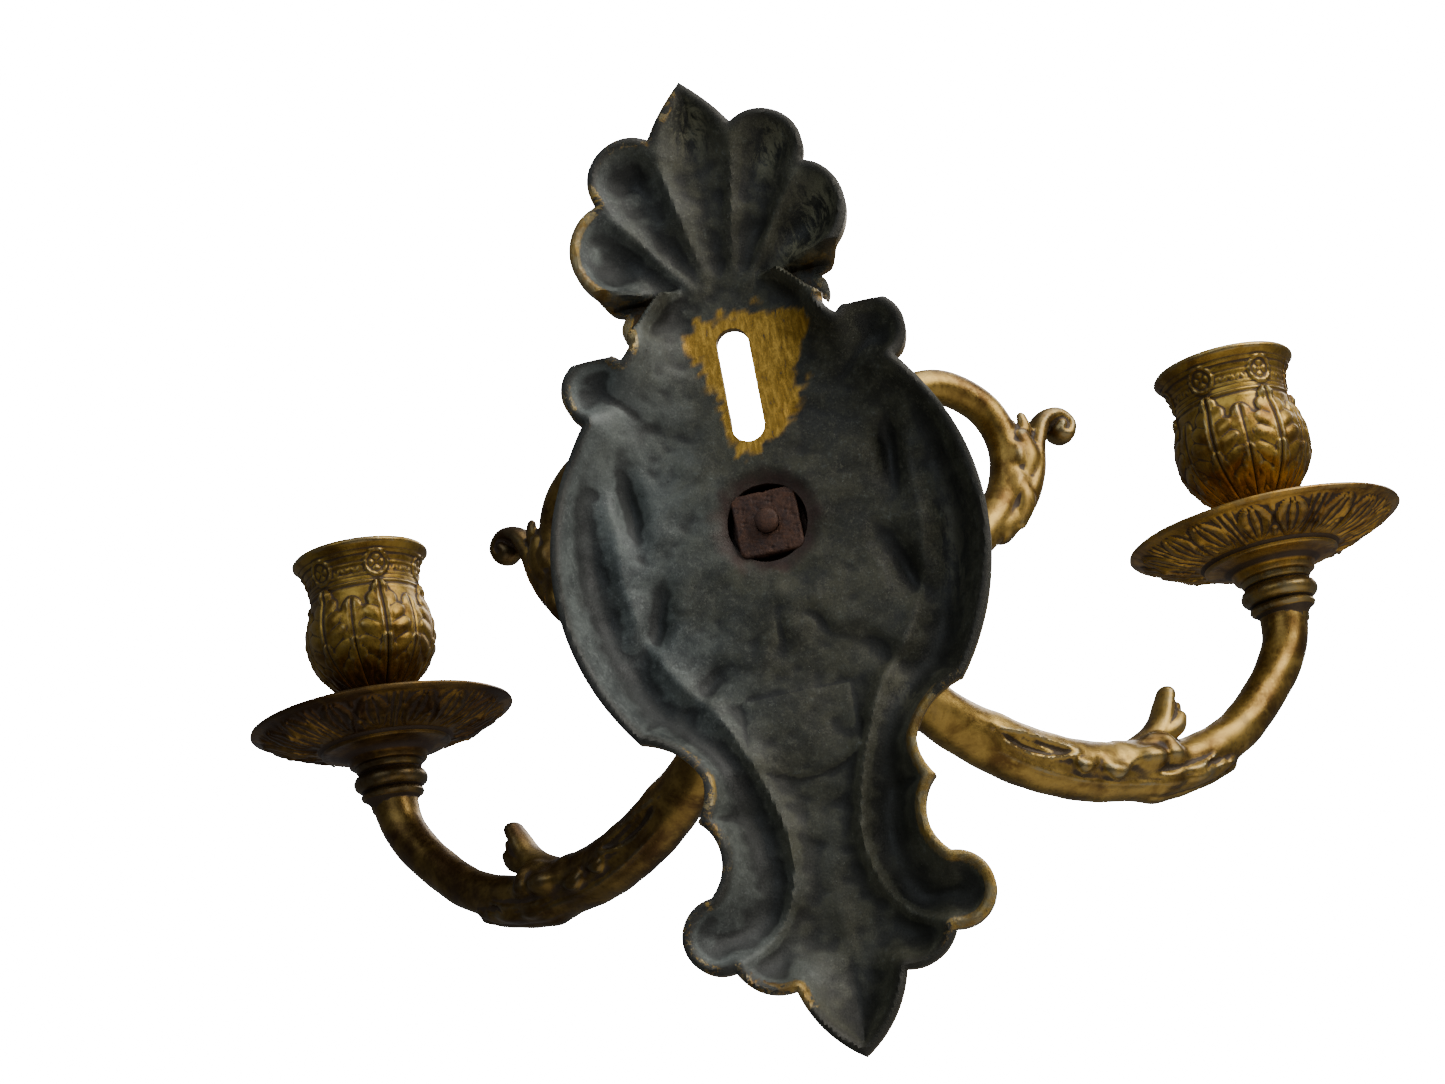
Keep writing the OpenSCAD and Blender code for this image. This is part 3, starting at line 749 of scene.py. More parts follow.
def cup_relief(angle, h):
    """Raised work on a candle cup: lobed leaves on the belly, and a frieze of medallions under the lip."""
    raised = np.zeros(len(h))
    six = wrapped(angle, 6)
    six_off = wrapped(angle + math.pi / 6, 6)

    def leaf(q, tip, foot_h, spread, lobes):
        """A broad leaf from its foot to its tip: rounded, lobed down both sides, with a sunk mid vein."""
        t = np.clip((h - foot_h) / (tip - foot_h), 0, 1)
        outline = spread * np.sin(np.pi * np.clip(t, 0.0, 1) ** 0.62) ** 0.55
        scallop = np.abs(np.sin(np.pi * (lobes * t - 0.9 * np.abs(q) / spread)))
        wide = np.maximum(outline * (0.80 + 0.26 * scallop), 0.02)
        on = (1 - ease(0.90, 1.04, np.abs(q) / wide)) * ease(0.0, 0.06, t) * (t < 1)
        crown = np.sqrt(np.clip(1 - (np.abs(q) / wide) ** 2, 0, 1))
        return on, on * (0.30 + 0.35 * crown + 0.34 * scallop * ease(0.1, 0.4, np.abs(q) / wide) - 0.30
                         * hump(q, 0.045)
                         + 0.22 * hump(np.abs(q) - 0.11, 0.05))

    _, low_leaf = leaf(six_off, 37.5, 15.5, 0.80, 5)
    top_on, top_leaf = leaf(six, 41.2, 15.5, 0.84, 6)
    _, bud = leaf(wrapped(angle, 12), 27, 13.5, 0.80, 3)
    raised += 0.55 * low_leaf * (1 - top_on)
    raised += 0.95 * top_leaf + 0.25 * top_on * ease(37, 40.6, h)
    raised += 0.40 * bud
    raised += 0.28 * (1 - ease(39.6, 40.2, h)) * ease(17, 24, h)
    # Fine ridge lines round the waist and under the lip
    for at, size in ((41.0, 0.22), (42.0, 0.16), (43.0, 0.16), (45.6, 0.16), (46.9, 0.16), (48.3, 0.30)):
        raised += size * hump(h - at, 0.24)
    # Frieze: rings about small four-part buds, with short wavy leaves between them
    dx = six * math.pi / 6 * 14.4
    r = np.hypot(dx, h - 45.4)
    turn = np.arctan2(h - 45.4, dx)
    between = ease(3.4, 4.0, np.abs(dx))
    band = ease(41.4, 41.9, h) * (1 - ease(48.0, 48.4, h))
    raised *= 1 - 0.8 * band * (1 - ease(2.7, 3.0, r))
    raised += 0.60 * hump(r - 2.85, 0.42) * (0.85 + 0.15 * np.cos(turn * 10))
    raised += 0.42 * hump(r - 1.35, 0.65) * np.abs(np.cos(turn * 2)) + 0.2 * hump(r, 0.35)
    wave = 44.2 + 0.35 * np.sin(dx * 2.6)
    raised += 0.30 * band * between * hump(h - wave, 0.42) * (0.6 + 0.4 * np.cos(dx * 5.2))
    # Seam of the two-part mould
    raised += 0.26 * hump(wrapped(angle - 0.35, 2), 0.010) * ease(16, 20, h) * (1 - ease(48, 50, h))
    return raised + 0.05 * np.sin(angle * 9 + h * 1.3) * np.sin(h * 0.8 + 2 * np.cos(angle * 4))


def make_cup(side):
    """A candle cup: a turned body with raised work, a blind bore and a socket for its stud."""
    sign = -1 if side == "left" else 1
    body = flowing([(8.2, 1.4), (7.4, 2.2), (5.8, 4.4), (5.1, 8), (5.5, 11.5), (7.0, 14.6), (8.1, 16.6),
                    (10.3, 18.8),
                    (13.3, 23), (14.9, 27.5), (15.1, 31.5), (14.5, 35), (13.7, 37.6), (13.5, 40),
                    (13.8, 44.5), (14.8, 47.8),
                    (LIP_R - 0.5, 49.9)], 4)
    outer = [(STUD_R + 0.05, 0), (8.1, 0), (8.5, 0.4), (8.5, 1.0)] + [tuple(r) for r in body]
    lip = [(LIP_R, 50.4), (LIP_R, 50.9), (LIP_R - 0.5, CUP_H), (LIP_R - 1.3, CUP_H - 0.1),
           (CANDLE_R + 2.2, 50.3),
           (CANDLE_R + 0.5, 48.6), (CANDLE_R, 47)]
    bore = [(CANDLE_R, CUP_H - CANDLE_DEEP + 0.6), (CANDLE_R - 0.6, CUP_H - CANDLE_DEEP),
            (3.4, CUP_H - CANDLE_DEEP - 0.5)]
    socket_top = CUP_STUD_HIGH.z - CUP_LOW.z
    profile = [(0, socket_top), (STUD_R + 0.05, socket_top)] + dense(outer, 0.42) + dense(lip, 0.42)
    profile += dense(bore, 1.6) + [(0, CUP_H - CANDLE_DEEP - 0.7)]
    bm = bmesh.new()
    turned(bm, profile, 288)
    co = np.array([v.co[:] for v in bm.verts])
    radius, angle = np.hypot(co[:, 0], co[:, 1]), np.arctan2(co[:, 1], co[:, 0])
    outside = np.interp(co[:, 2], [r[1] for r in body], [r[0] for r in body])
    skin = (np.abs(radius - outside) < 0.3) & (co[:, 2] > 1.4) & (co[:, 2] < 49.9)
    extra = np.where(skin, cup_relief(angle, co[:, 2]), 0)
    grow = np.where(radius > 0.01, (radius + extra) / np.maximum(radius, 0.01), 1)
    for v, g in zip(bm.verts, grow):
        v.co.x *= g
        v.co.y *= g
    bmesh.ops.translate(bm, verts=bm.verts[:], vec=(CUP_X, CUP_Y, CUP_LOW.z + 2 * SEAT_GAP))
    if sign < 0:
        mirrored(bm)
    cup = piece_from(bm, f"cast_cup_{side}", 50)
    mark_hollows(cup)
    return cup


def pan_relief(angle, r):
    """Leafage under the drip pan: broad fanned leaves in pairs about a bud, with thin stems between."""
    out = (r - 16.5) / 14
    sway = 0.10 * np.sin(out * math.pi * 1.4) * np.sin(4 * angle + 0.6)
    eight = wrapped(angle + sway * 0.12, 8)
    wide = np.abs(eight)
    arc_len = math.pi / 8 * r
    on = ease(16.5, 17.4, r) * (1 - ease(29.6, 30.8, r))
    raised = np.zeros(len(r))
    # Fanned leaf to each side of the bud: its ribs spread outwards and its tip is lobed
    centre = 0.50 - 0.10 * out
    half = 0.40 * np.sqrt(np.clip(out * 1.7, 0, 1)) * np.sqrt(np.clip((1.0 - out) * 3.2, 0, 1))
    q = (wide - centre) / np.maximum(half, 0.02)
    fan = np.abs(np.cos(math.pi * (1.5 * q + 0.35 * q * out)))
    inside = (1 - ease(0.82, 1.06, np.abs(q))) * (half > 0.05)
    tips = 29.2 + 0.9 * fan
    raised += inside * (1 - ease(tips - 0.5, tips + 0.3, r)) * (0.26 + 0.50 * fan * ease(0.08, 0.35, out))
    raised += 0.34 * inside * hump(np.abs(q) - 0.86, 0.15) * ease(0.15, 0.4, out)
    # Bud in the middle: two small leaves, a bead and a point
    span = wide * arc_len
    raised += 0.75 * hump(np.hypot(span - 0.95, (r - 25.0) * 0.45), 0.70)
    raised += 0.60 * hump(np.hypot(span, r - 21.4), 0.62) + 0.55 * hump(np.hypot(span, (r - 28.2) * 0.6),
                                                                        0.6)
    raised += 0.40 * hump(span, 0.35) * ease(17, 18.5, r) * (1 - ease(20, 21, r))
    # Stems between the pairs, with a hooked leaf to each side
    stem = (1 - wide) * arc_len
    raised += 0.55 * hump(stem, 0.40) + 0.42 * hump(stem - 1.2 - 0.8 * np.clip(out, 0, 1) ** 2,
                                                    0.34) * ease(0.15, 0.35, out)
    return raised * on + 0.05 * np.sin(r * 2.1 + 5 * np.sin(angle * 3)) * on


def make_pan(side):
    """A drip pan: a thin turned dish, leafed underneath and a little uneven at its rim."""
    sign = -1 if side == "left" else 1
    hole = STUD_R + 0.4
    under = [(hole, 0), (9.2, 0), (9.6, 0.4)]
    under += [tuple(r) for r in flowing([(9.6, 1.3), (10.6, 2.6), (13, 3.4), (15.6, 3.7)],
                                        4)] + [(15.9, 4.0), (15.9, 4.6)]
    skirt = flowing([(16.4, 5.2), (18.5, 5.75), (23, 7.05), (27.5, 8.95), (PAN_R - 1.4, 10.6)], 8)
    rim = [(PAN_R - 0.35, 10.9), (PAN_R, 11.3), (PAN_R - 0.1, 11.7), (PAN_R - 0.6, 12),
           (PAN_R - 1.2, 11.95)]
    inside = flowing([(PAN_R - 1.9, 11.7), (26.8, 9.95), (22.5, 8.25), (18, 6.95), (14.5, 6.2), (11, 5),
                      (9.5, 3.4),
                      (9, 2.5)], 6)
    profile = under + dense([tuple(r) for r in skirt], 0.34) + rim + dense([tuple(r) for r in inside],
                                                                           0.8) + [(hole, 2.5)]
    bm = bmesh.new()
    turned(bm, profile, 360)
    co = np.array([v.co[:] for v in bm.verts])
    radius, angle = np.hypot(co[:, 0], co[:, 1]), np.arctan2(co[:, 1], co[:, 0])
    floor = np.interp(radius, [r[0] for r in skirt], [r[1] for r in skirt])
    skin = (np.abs(co[:, 2] - floor) < 0.12) & (radius > 16.3) & (radius < PAN_R - 1.2)
    drop = np.where(skin, pan_relief(angle, radius), 0)
    wave = 0.10 * np.sin(3 * angle + 1) + 0.06 * np.sin(7 * angle)
    for v, d, w, r in zip(bm.verts, drop, wave, radius):
        v.co.z -= d
        v.co.z -= max(0.0, w) * float(ease(24, 32, r))
    bmesh.ops.translate(bm, verts=bm.verts[:], vec=(CUP_X, CUP_Y, PAN_LOW.z + SEAT_GAP))
    if sign < 0:
        mirrored(bm)
    pan = piece_from(bm, f"cast_pan_{side}", 50)
    mark_hollows(pan)
    return pan


# ---- Fastenings --------------------------------------------------------------------------------

def threaded(name, start, end):
    """A threaded stud from start to end, with both ends domed."""
    axis = Vector(end) - Vector(start)
    length = axis.length
    bm = bmesh.new()
    dome = [(STUD_R * math.sin(a), 0.9 * (1 - math.cos(a))) for a in np.linspace(0, math.pi / 2, 8)]
    top = [(r, length - h) for r, h in reversed(dome)]
    profile = dense(dome + top, THREAD_PITCH / 7)
    turned(bm, profile, 48)
    for v in bm.verts:
        r = math.hypot(v.co.x, v.co.y)
        if r > STUD_R - 0.05 and 1.0 < v.co.z < length - 1.0:
            phase = (v.co.z / THREAD_PITCH - math.atan2(v.co.y, v.co.x) / (2 * math.pi)) % 1
            deep = 0.30 * (1 - abs(2 * phase - 1))
            v.co.x *= 1 - deep / r
            v.co.y *= 1 - deep / r
    lean = Vector((0, 0, 1)).rotation_difference(axis).to_matrix().to_4x4()
    bmesh.ops.transform(bm, matrix=Matrix.Translation(start) @ lean, verts=bm.verts[:])
    piece = piece_from(bm, name, 60)
    mark_hollows(piece, (2, 5), (0.08, 0.2))
    return piece


def make_nut():
    """Square nut: its corners are cut round, its back face is chamfered, and rust has pitted it."""
    half = (NUT_HIGH.x - NUT_LOW.x) / 2
    deep = NUT_HIGH.y - NUT_LOW.y
    bm = bmesh.new()
    bmesh.ops.create_cube(bm, size=1)
    bmesh.ops.scale(bm, verts=bm.verts[:], vec=(2 * half, deep, 2 * half))
    uprights = [e for e in bm.edges if abs(e.verts[0].co.y - e.verts[1].co.y) > deep / 2]
    bmesh.ops.bevel(bm, geom=uprights, offset=1.9, affect="EDGES", segments=6, profile=0.5, material=-1)
    brim = [e for e in bm.edges if abs(e.calc_face_angle(0)) > 1.2]
    bmesh.ops.bevel(bm, geom=brim, offset=0.55, affect="EDGES", segments=4, profile=0.5, material=-1)
    bmesh.ops.triangulate(bm, faces=bm.faces[:])
    bmesh.ops.translate(bm, verts=bm.verts[:], vec=(0, (NUT_LOW.y + NUT_HIGH.y) / 2, AXIS_Z))
    bmesh.ops.recalc_face_normals(bm, faces=bm.faces[:])
    nut = piece_from(bm, "iron_nut")
    cut(nut, rod(STUD_R, (0, NUT_LOW.y - 1, AXIS_Z), (0, NUT_HIGH.y + 1, AXIS_Z)))
    fuse = nut.modifiers.new("fuse", "REMESH")
    fuse.mode = "VOXEL"
    fuse.voxel_size = 0.16 * MM
    settle(nut)
    co, no = shape_of(nut.data)
    p = co / MM
    pits = 0.10 * ripple(p, 2.6, 51) + 0.07 * ripple(p, 1.1, 52)
    moved = co - no * (np.clip(pits, 0, 1) + 0.06)[:, None] * MM
    nut.data.vertices.foreach_set("co", moved.astype(np.float32).ravel())
    nut.data.update()
    nut.data.shade_smooth()
    mark_hollows(nut)
    return nut


def make_washer():
    """Thin round washer on the floor of the nut well."""
    bm = bmesh.new()
    r = (WASHER_HIGH.x - WASHER_LOW.x) / 2
    t = WASHER_HIGH.y - WASHER_LOW.y
    profile = [(STUD_R, 0), (r - 0.2, 0), (r, 0.2), (r, t - 0.25), (r - 0.25, t), (STUD_R, t)]
    turned(bm, dense(profile, 0.5), 96, (0, WASHER_LOW.y, AXIS_Z), (0, 1, 0))
    washer = piece_from(bm, "iron_washer")
    mark_hollows(washer)
    return washer


def make_cap():
    """Rosette that closes the stud: eight petals round a turned knob."""
    height = CAP_HIGH.y - CAP_LOW.y
    r = (CAP_HIGH.x - CAP_LOW.x) / 2
    profile = [(0, 0), (r - 0.6, 0)]
    profile += [tuple(p) for p in flowing([(r - 0.1, 0.8), (r - 0.1, 1.8), (r - 1.7, 3.3), (4.6, 4.4),
                                           (4.1, 5.4), (4.6, 7.2),
                                           (4.2, 9.4), (2.3, 11.3), (1.0, height - 0.15)], 5)]
    profile += [(0, height)]
    bm = bmesh.new()
    turned(bm, dense(profile, 0.25), 192)
    for v in bm.verts:
        rad, angle = math.hypot(v.co.x, v.co.y), math.atan2(v.co.y, v.co.x)
        if 0.2 < v.co.z < 5.0 and rad > 4.4:
            fold = abs(math.sin(4 * angle))
            part = min(1, (rad - 4.4) / 2)
            v.co.x *= 1 - 0.14 * part * (1 - fold) ** 3
            v.co.y *= 1 - 0.14 * part * (1 - fold) ** 3
            v.co.z *= 1 - 0.35 * part * (1 - fold) ** 2
        if v.co.z > 5.6 and rad > 1:
            v.co.x *= 1 - 0.05 * (1 - abs(math.sin(6 * angle))) ** 2
            v.co.y *= 1 - 0.05 * (1 - abs(math.sin(6 * angle))) ** 2
    lean = Vector((0, 0, 1)).rotation_difference(Vector((0, -1, 0))).to_matrix().to_4x4()
    bmesh.ops.transform(bm, matrix=Matrix.Translation((0, -CAP_SEAT, AXIS_Z)) @ lean, verts=bm.verts[:])
    cap = piece_from(bm, "rosette")
    mark_hollows(cap)
    return cap


# ---- Finishes ----------------------------------------------------------------------------------

class Finish:
    """One material's nodes, added from the pattern towards the surface."""

    def __init__(self, name):
        self.material = bpy.data.materials.new(name)
        self.material.use_nodes = True
        self.tree = self.material.node_tree
        self.shader = self.tree.nodes["Principled BSDF"]
        self.coords = self.tree.nodes.new("ShaderNodeTexCoord").outputs["Object"]

    def node(self, kind, inputs=(), **settings):
        made = self.tree.nodes.new(kind)
        for key, value in settings.items():
            setattr(made, key, value)
        for key, value in dict(inputs).items():
            self.put(made.inputs[key], value)
        return made

    def put(self, socket, value):
        if isinstance(value, bpy.types.NodeSocket):
            self.tree.links.new(value, socket)
        else:
            socket.default_value = value

    def noise(self, size_mm, detail=5, rough=0.6, warp=0.0, stretch=(1, 1, 1)):
        where = self.coords
        if stretch != (1, 1, 1):
            where = self.node("ShaderNodeMapping", {"Vector": where, "Scale": stretch}).outputs[0]
        return self.node("ShaderNodeTexNoise", {"Vector": where, "Scale": 1000 / size_mm, "Detail": detail,
                                                "Roughness": rough, "Distortion": warp}).outputs["Fac"]

    def attribute(self, name):
        return self.node("ShaderNodeAttribute", attribute_name=name).outputs["Fac"]

    def between(self, value, low, high, to=(0.0, 1.0)):
        return self.node("ShaderNodeMapRange", {"Value": value, "From Min": low, "From Max": high,
                                                "To Min": to[0],
                                                "To Max": to[1]},
                         interpolation_type="SMOOTHSTEP").outputs[0]

    def math(self, operation, a, b):
        return self.node("ShaderNodeMath", {0: a, 1: b}, operation=operation).outputs[0]

    def times(self, a, b):
        return self.math("MULTIPLY", a, b)

    def most(self, a, b):
        return self.math("MAXIMUM", a, b)

    def plus(self, a, b):
        return self.math("ADD", a, b)

    def mix(self, amount, a, b):
        made = self.node("ShaderNodeMix", data_type="RGBA")
        self.put(made.inputs[0], amount)
        self.put(made.inputs[6], a if isinstance(a, bpy.types.NodeSocket) else (*a, 1))
        self.put(made.inputs[7], b if isinstance(b, bpy.types.NodeSocket) else (*b, 1))
        return made.outputs[2]

    def blend(self, amount, a, b):
        made = self.node("ShaderNodeMix", data_type="FLOAT")
        self.put(made.inputs[0], amount)
        self.put(made.inputs[2], a)
        self.put(made.inputs[3], b)
        return made.outputs[0]

    def axis(self, name):
        return self.node("ShaderNodeSeparateXYZ", {0: self.coords}).outputs[name]

    def surface(self, color, metallic, roughness, height, depth_mm, strength=0.6):
        bump = self.node("ShaderNodeBump", {"Strength": strength, "Distance": depth_mm * MM,
                                            "Height": height})
        for key, value in (("Base Color", color), ("Metallic", metallic), ("Roughness", roughness),
                           ("Normal", bump.outputs[0])):
            self.put(self.shader.inputs[key], value)
        return self.material


def gilt_layers(f, bright, deep, dirt, worn, side_shade):
    """Colour, metal, roughness and relief of old gold paint: dark in the hollows, rubbed grey on edges.
    The last argument is how much painted shade darkens the +X half to brown."""
    hollow = f.attribute("hollow")
    cloud = f.noise(11, 6, 0.62, 0.4)
    blotch = f.noise(3.4, 6, 0.68, 0.3)
    fine = f.noise(1.0, 6, 0.72)
    speck = f.noise(0.42, 3, 0.6)
    tone = f.mix(f.between(cloud, 0.34, 0.66), deep, bright)
    tone = f.mix(f.between(blotch, 0.50, 0.72, (0, 0.75)), tone, bright)
    tone = f.mix(f.between(fine, 0.48, 0.30, (0, 0.55)), tone, deep)
    grime = f.most(f.between(hollow, 0.03, 0.36), f.between(cloud, 0.56, 0.82, (0, 0.55)))
    tone = f.mix(f.times(grime, 0.92), tone, dirt)
    edge = f.between(hollow, -0.16, -0.55)
    rubbed = f.times(edge, f.between(blotch, 0.40, 0.60, (0.15, 1.0)))
    tone = f.mix(f.times(rubbed, 0.85), tone, worn)
    # Painted shade: the +X half is darkened to brown, standing in for that side lying away from the key
    # light
    brown = f.times(f.between(f.axis("X"), 0.0, 0.06, (0, side_shade)), f.between(cloud, 0.62, 0.38,
                                                                              (0.72, 1.0)))
    tone = f.mix(brown, tone, (0.032, 0.014, 0.0045))
    tone = f.mix(f.between(speck, 0.71, 0.78, (0, 0.5)), tone, (0.62, 0.45, 0.14))
    tone = f.mix(f.between(fine, 0.30, 0.22, (0, 0.8)), tone, dirt)
    metal = f.blend(grime, 0.88, 0.30)
    rough = f.blend(grime, f.between(fine, 0.3, 0.7, (0.30, 0.46)), 0.60)
    relief = f.plus(f.times(fine, 0.7), f.times(speck, 0.4))
    return tone, metal, rough, relief


def gilt_finish(name, bright, deep, dirt, worn, side_shade):
    f = Finish(name)
    tone, metal, rough, relief = gilt_layers(f, bright, deep, dirt, worn, side_shade)
    return f.surface(tone, metal, rough, relief, 0.10)


def plate_finish():
    """Back: blue-grey to brown patina with pale bloom, its +X side paler and bluer partly as patina colour
    and partly as painted light; rim: traces of gold; front: old gold paint.
    """
    f = Finish("plate_patina")
    hollow, rim, neck = f.attribute("hollow"), f.attribute("rim"), f.attribute("neck")
    cloud = f.noise(26, 5, 0.62, 0.5)
    patch = f.noise(6.5, 6, 0.70, 0.3)
    fine = f.noise(1.5, 6, 0.78)
    speck = f.noise(0.50, 4, 0.7)
    # The +X side is paler and bluer: partly the patina's own colour, partly painted light falling on that
    # side. The tones, chalk, mottle and bloom below all follow it.
    side = f.between(f.plus(f.axis("X"), f.times(f.math("SUBTRACT", cloud, 0.5), 0.06)), -0.004, 0.036)
    tone = f.mix(side, (0.0155, 0.0152, 0.0088), (0.037, 0.043, 0.041))
    tone = f.mix(f.between(patch, 0.38, 0.68), tone, f.mix(side, (0.047, 0.046, 0.027),
                                                           (0.102, 0.116, 0.107)))
    tone = f.mix(f.between(cloud, 0.50, 0.70, (0, 0.65)), tone, (0.018, 0.016, 0.009))
    chalk = f.mix(side, f.mix(patch, (0.030, 0.029, 0.018), (0.115, 0.113, 0.072)),
                  f.mix(patch, (0.050, 0.057, 0.055), (0.230, 0.255, 0.240)))
    tone = f.mix(f.times(f.attribute("pale"), 0.75), tone, chalk)
    mottle = f.noise(1.4, 5, 0.85, 0.3)
    tone = f.mix(f.between(mottle, 0.53, 0.62, (0, 0.62)), tone, f.mix(side, (0.078, 0.075, 0.050),
                                                                       (0.155, 0.170, 0.160)))
    bloom = f.times(f.between(fine, 0.52, 0.74), f.between(patch, 0.40, 0.66))
    tone = f.mix(f.times(bloom, f.blend(side, 0.45, 0.80)), tone, (0.19, 0.21, 0.195))
    tone = f.mix(f.between(speck, 0.62, 0.74, (0, 0.60)), tone, (0.22, 0.23, 0.19))
    tone = f.mix(f.between(hollow, 0.05, 0.6, (0, 0.75)), tone, (0.006, 0.006, 0.005))
    tone = f.mix(f.between(fine, 0.41, 0.27, (0, 0.75)), tone, (0.008, 0.008, 0.006))
    residue = f.times(f.attribute("residue"), f.between(f.noise(2.8, 6, 0.78, 0.6, (1, 1, 0.4)), 0.44,
                                                        0.58))
    tone = f.mix(f.times(residue, 0.8), tone, (0.19, 0.18, 0.11))
    rust_mask = f.times(f.attribute("rust"), f.between(fine, 0.25, 0.55, (0.55, 1.0)))
    tone = f.mix(f.times(rust_mask, 0.9), tone, f.mix(patch, (0.016, 0.007, 0.005), (0.050, 0.021, 0.013)))
    # Gold paint, brushed thin round the slot
    brush = f.noise(2.6, 5, 0.65, 0.5, (2.4, 1, 0.7))
    paint_mask = f.times(f.attribute("paint"), f.between(brush, 0.30, 0.40))
    paint = f.mix(f.between(brush, 0.40, 0.70), (0.24, 0.130, 0.012), (0.52, 0.300, 0.045))
    tone = f.mix(paint_mask, tone, paint)
    # The rim is dark, with gold that crept over it, and the front is gilt
    tone = f.mix(f.times(rim, 0.85), tone, (0.016, 0.014, 0.009))
    crept = f.plus(f.attribute("crept"), f.times(f.math("SUBTRACT", f.noise(6.0, 6, 0.8, 0.6), 0.45), 2.2))
    rim_gold = f.times(f.between(rim, 0.10, 0.5), f.between(crept, 0.46, 0.62))
    rim_gold = f.most(rim_gold, f.times(neck, f.between(patch, 0.42, 0.56)))
    front = f.attribute("front")
    gilt, metal, rough, relief = gilt_layers(f, (0.34, 0.215, 0.040), (0.11, 0.056, 0.010),
                                             (0.020, 0.010, 0.003),
                                             (0.20, 0.165, 0.09), 0.0)
    gold = f.most(rim_gold, front)
    tone = f.mix(gold, tone, gilt)
    metallic = f.blend(f.most(gold, paint_mask), 0.30, 0.70)
    roughness = f.blend(f.most(gold, paint_mask), f.between(patch, 0.3, 0.7, (0.48, 0.66)), 0.42)
    height = f.plus(f.times(fine, 0.6), f.times(speck, 0.4))
    return f.surface(tone, metallic, roughness, height, 0.28, 0.8)


def rust_finish():
    f = Finish("rusty_iron")
    cloud, fine = f.noise(3.0, 6, 0.7, 0.5), f.noise(0.6, 5, 0.7)
    tone = f.mix(f.between(cloud, 0.34, 0.68), (0.030, 0.012, 0.008), (0.090, 0.040, 0.022))
    tone = f.mix(f.between(fine, 0.55, 0.75, (0, 0.6)), tone, (0.10, 0.042, 0.024))
    tone = f.mix(f.between(f.attribute("hollow"), 0.0, 0.5, (0, 0.8)), tone, (0.012, 0.007, 0.006))
    tone = f.mix(f.between(f.attribute("hollow"), -0.1, -0.5, (0, 0.5)), tone, (0.085, 0.050, 0.040))
    return f.surface(tone, f.between(cloud, 0.3, 0.7, (0.15, 0.45)), f.between(fine, 0.3, 0.7,
                                                                               (0.55, 0.8)), fine, 0.20,
                     0.8)


def brass_finish():
    f = Finish("stud_brass")
    cloud, fine = f.noise(4, 5, 0.6), f.noise(0.5, 4, 0.6)
    tone = f.mix(f.between(cloud, 0.35, 0.7), (0.18, 0.12, 0.05), (0.40, 0.28, 0.12))
    tone = f.mix(f.between(f.attribute("hollow"), 0.0, 0.4), tone, (0.05, 0.03, 0.015))
    return f.surface(tone, 0.9, f.between(fine, 0.3, 0.7, (0.34, 0.5)), fine, 0.05, 0.4)


# ---- Assembly ----------------------------------------------------------------------------------

def fit(piece, material, body, nodes):
    """Gives a piece its finish, the body it rides on and the CAD nodes it stands for."""
    piece.data.materials.clear()
    piece.data.materials.append(material)
    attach(piece, body)
    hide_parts(*nodes)


# The last number of each finish is how much painted shade darkens its +X side.
arm_gilt = gilt_finish("aged_gilt", (0.33, 0.212, 0.050), (0.090, 0.046, 0.010), (0.022, 0.010, 0.003),
                       (0.20, 0.165, 0.09),
                       0.70)
pan_gilt = gilt_finish("pan_gilt", (0.44, 0.245, 0.040), (0.120, 0.052, 0.008), (0.024, 0.010, 0.003),
                       (0.22, 0.145, 0.05),
                       0.88)
cup_gilt = gilt_finish("cup_gilt", (0.39, 0.245, 0.044), (0.13, 0.064, 0.010), (0.036, 0.017, 0.005),
                       (0.27, 0.21, 0.10),
                       0.22)
rust, brass = rust_finish(), brass_finish()

fit(make_backplate(), plate_finish(), "plate", ["backplate", "stud_boss"])
fit(threaded("iron_stud", (0, STUD_LOW.y, AXIS_Z), (0, STUD_HIGH.y, AXIS_Z)), rust, "plate",
    ["centre_stud"])
fit(make_washer(), rust, "plate", ["stud_washer"])
fit(make_nut(), rust, "plate", ["square_nut"])
fit(make_cap(), arm_gilt, "plate", ["rosette_cap"])
for side, lap, sign in (("left", 0, -1), ("right", 1, 1)):
    fit(make_arm(side, lap), arm_gilt, "arms", [f"arm_{side}"])
    fit(make_pan(side), pan_gilt, f"pan_{side}", [f"drip_pan_{side}"])
    fit(make_cup(side), cup_gilt, f"cup_{side}", [f"candle_cup_{side}"])
    fit(threaded(f"brass_stud_{side}", (sign * CUP_X, CUP_Y, CUP_STUD_LOW.z),
                 (sign * CUP_X, CUP_Y, CUP_STUD_HIGH.z)),
        brass, f"stud_{side}", [f"cup_stud_{side}"])


# ---- Stage -------------------------------------------------------------------------------------

def area_light(name, at, size, watts, color, aim=(0, 0, -0.05)):
    light = bpy.data.lights.new(name, "AREA")
    light.shape = "DISK"
    light.size = size
    light.energy = watts
    light.color = color
    lamp = bpy.data.objects.new(name, light)
    lamp.location = at
    lamp.rotation_euler = (Vector(aim) - Vector(at)).to_track_quat("-Z", "Y").to_euler()
    bpy.context.scene.collection.objects.link(lamp)


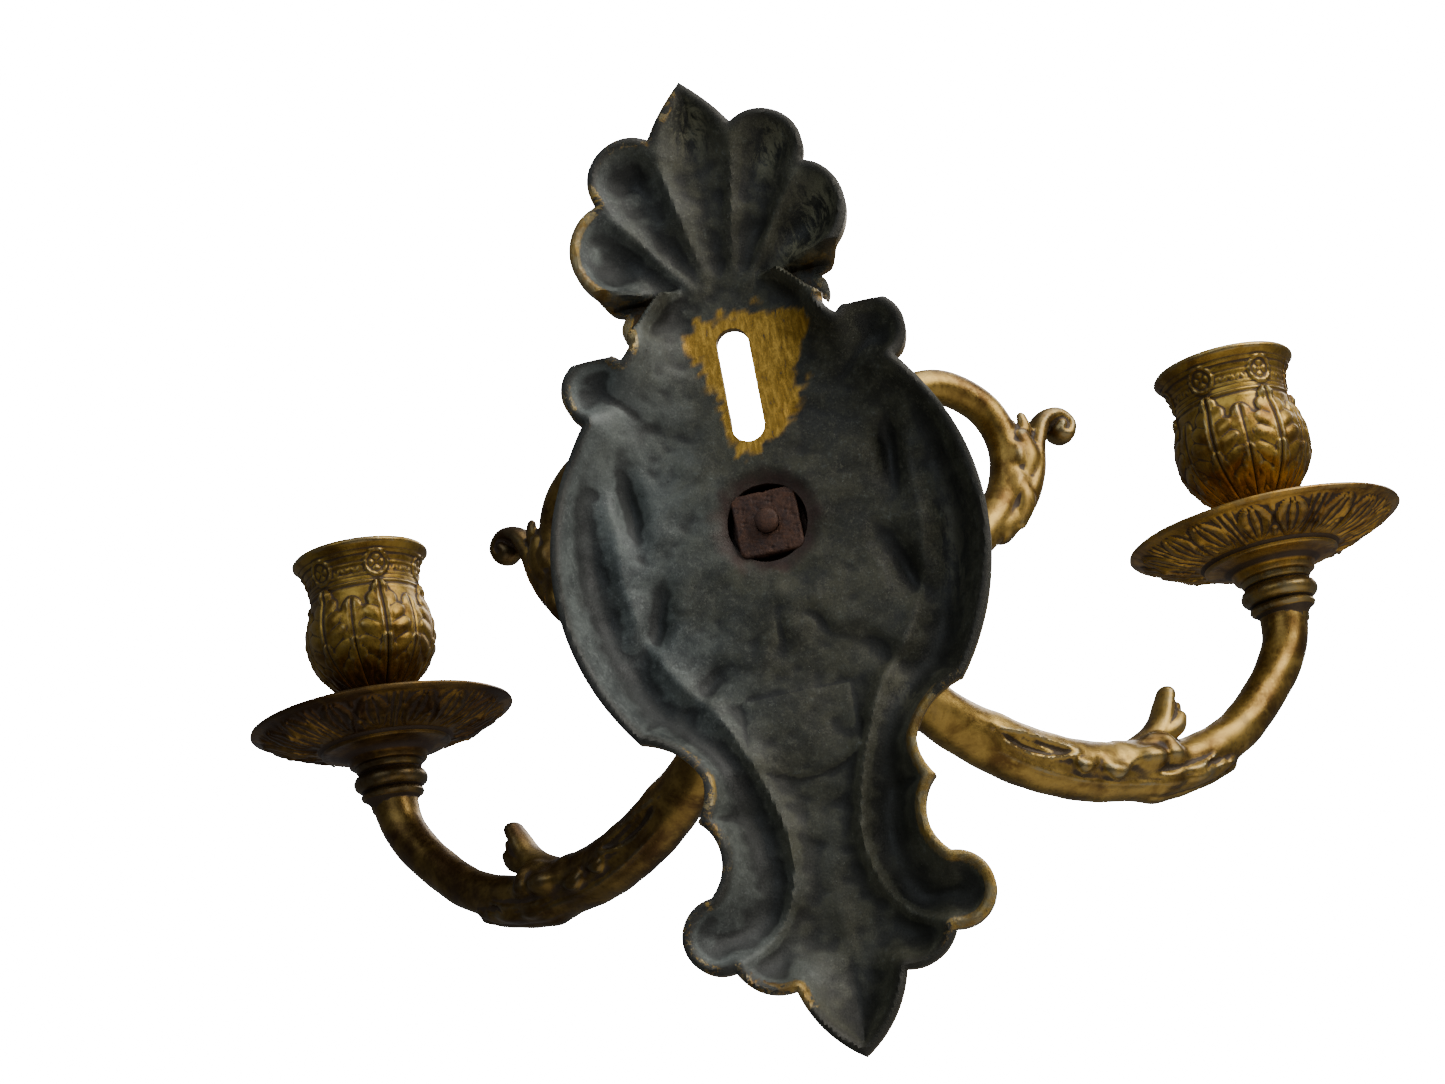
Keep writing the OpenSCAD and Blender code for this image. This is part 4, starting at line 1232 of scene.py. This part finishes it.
def make_world(backdrop, ambient):
    """A white backdrop for the camera and a softer, cooler light for the object."""
    world = bpy.data.worlds.new("studio")
    world.use_nodes = True
    tree = world.node_tree
    background = tree.nodes["Background"]
    background.inputs["Color"].default_value = (0.92, 0.96, 1.0, 1)
    background.inputs["Strength"].default_value = ambient
    white = tree.nodes.new("ShaderNodeBackground")
    white.inputs["Strength"].default_value = backdrop
    seen = tree.nodes.new("ShaderNodeLightPath")
    choose = tree.nodes.new("ShaderNodeMixShader")
    tree.links.new(seen.outputs["Is Camera Ray"], choose.inputs[0])
    tree.links.new(background.outputs[0], choose.inputs[1])
    tree.links.new(white.outputs[0], choose.inputs[2])
    tree.links.new(choose.outputs[0], tree.nodes["World Output"].inputs[0])
    bpy.context.scene.world = world


def make_camera(at, azimuth, elevation, roll, lens):
    """Camera looking towards -Y, turned by azimuth and raised by elevation, then rolled, in degrees."""
    a, e = math.radians(azimuth), math.radians(elevation)
    look = Vector((math.sin(a) * math.cos(e), -math.cos(a) * math.cos(e), math.sin(e)))
    data = bpy.data.cameras.new("camera")
    data.lens = lens
    data.sensor_width = 36
    data.clip_start = 0.01
    camera = bpy.data.objects.new("camera", data)
    turn = Matrix.Rotation(math.radians(roll), 4, look) @ look.to_track_quat("-Z", "Y").to_matrix().to_4x4()
    camera.matrix_world = Matrix.Translation(at) @ turn
    bpy.context.scene.collection.objects.link(camera)
    bpy.context.scene.camera = camera


make_camera((-0.039, 0.489, -0.202), 5.6, 17.2, 10.6, 62.3)
make_world(40.0, 0.15)
area_light("window", (-0.56, 0.22, 0.34), 0.55, 6.5, (1.0, 0.97, 0.92))
area_light("sky", (0.35, 1.15, 0.75), 1.1, 6, (0.80, 0.90, 1.0))
area_light("above", (-0.45, 0.0, 0.95), 0.8, 6, (0.95, 0.97, 1.0))
area_light("front", (-0.6, -1.1, 0.7), 0.9, 10, (1.0, 0.97, 0.92))
area_light("below", (-0.30, 0.15, -0.75), 1.4, 3.7, (1.0, 0.96, 0.90))
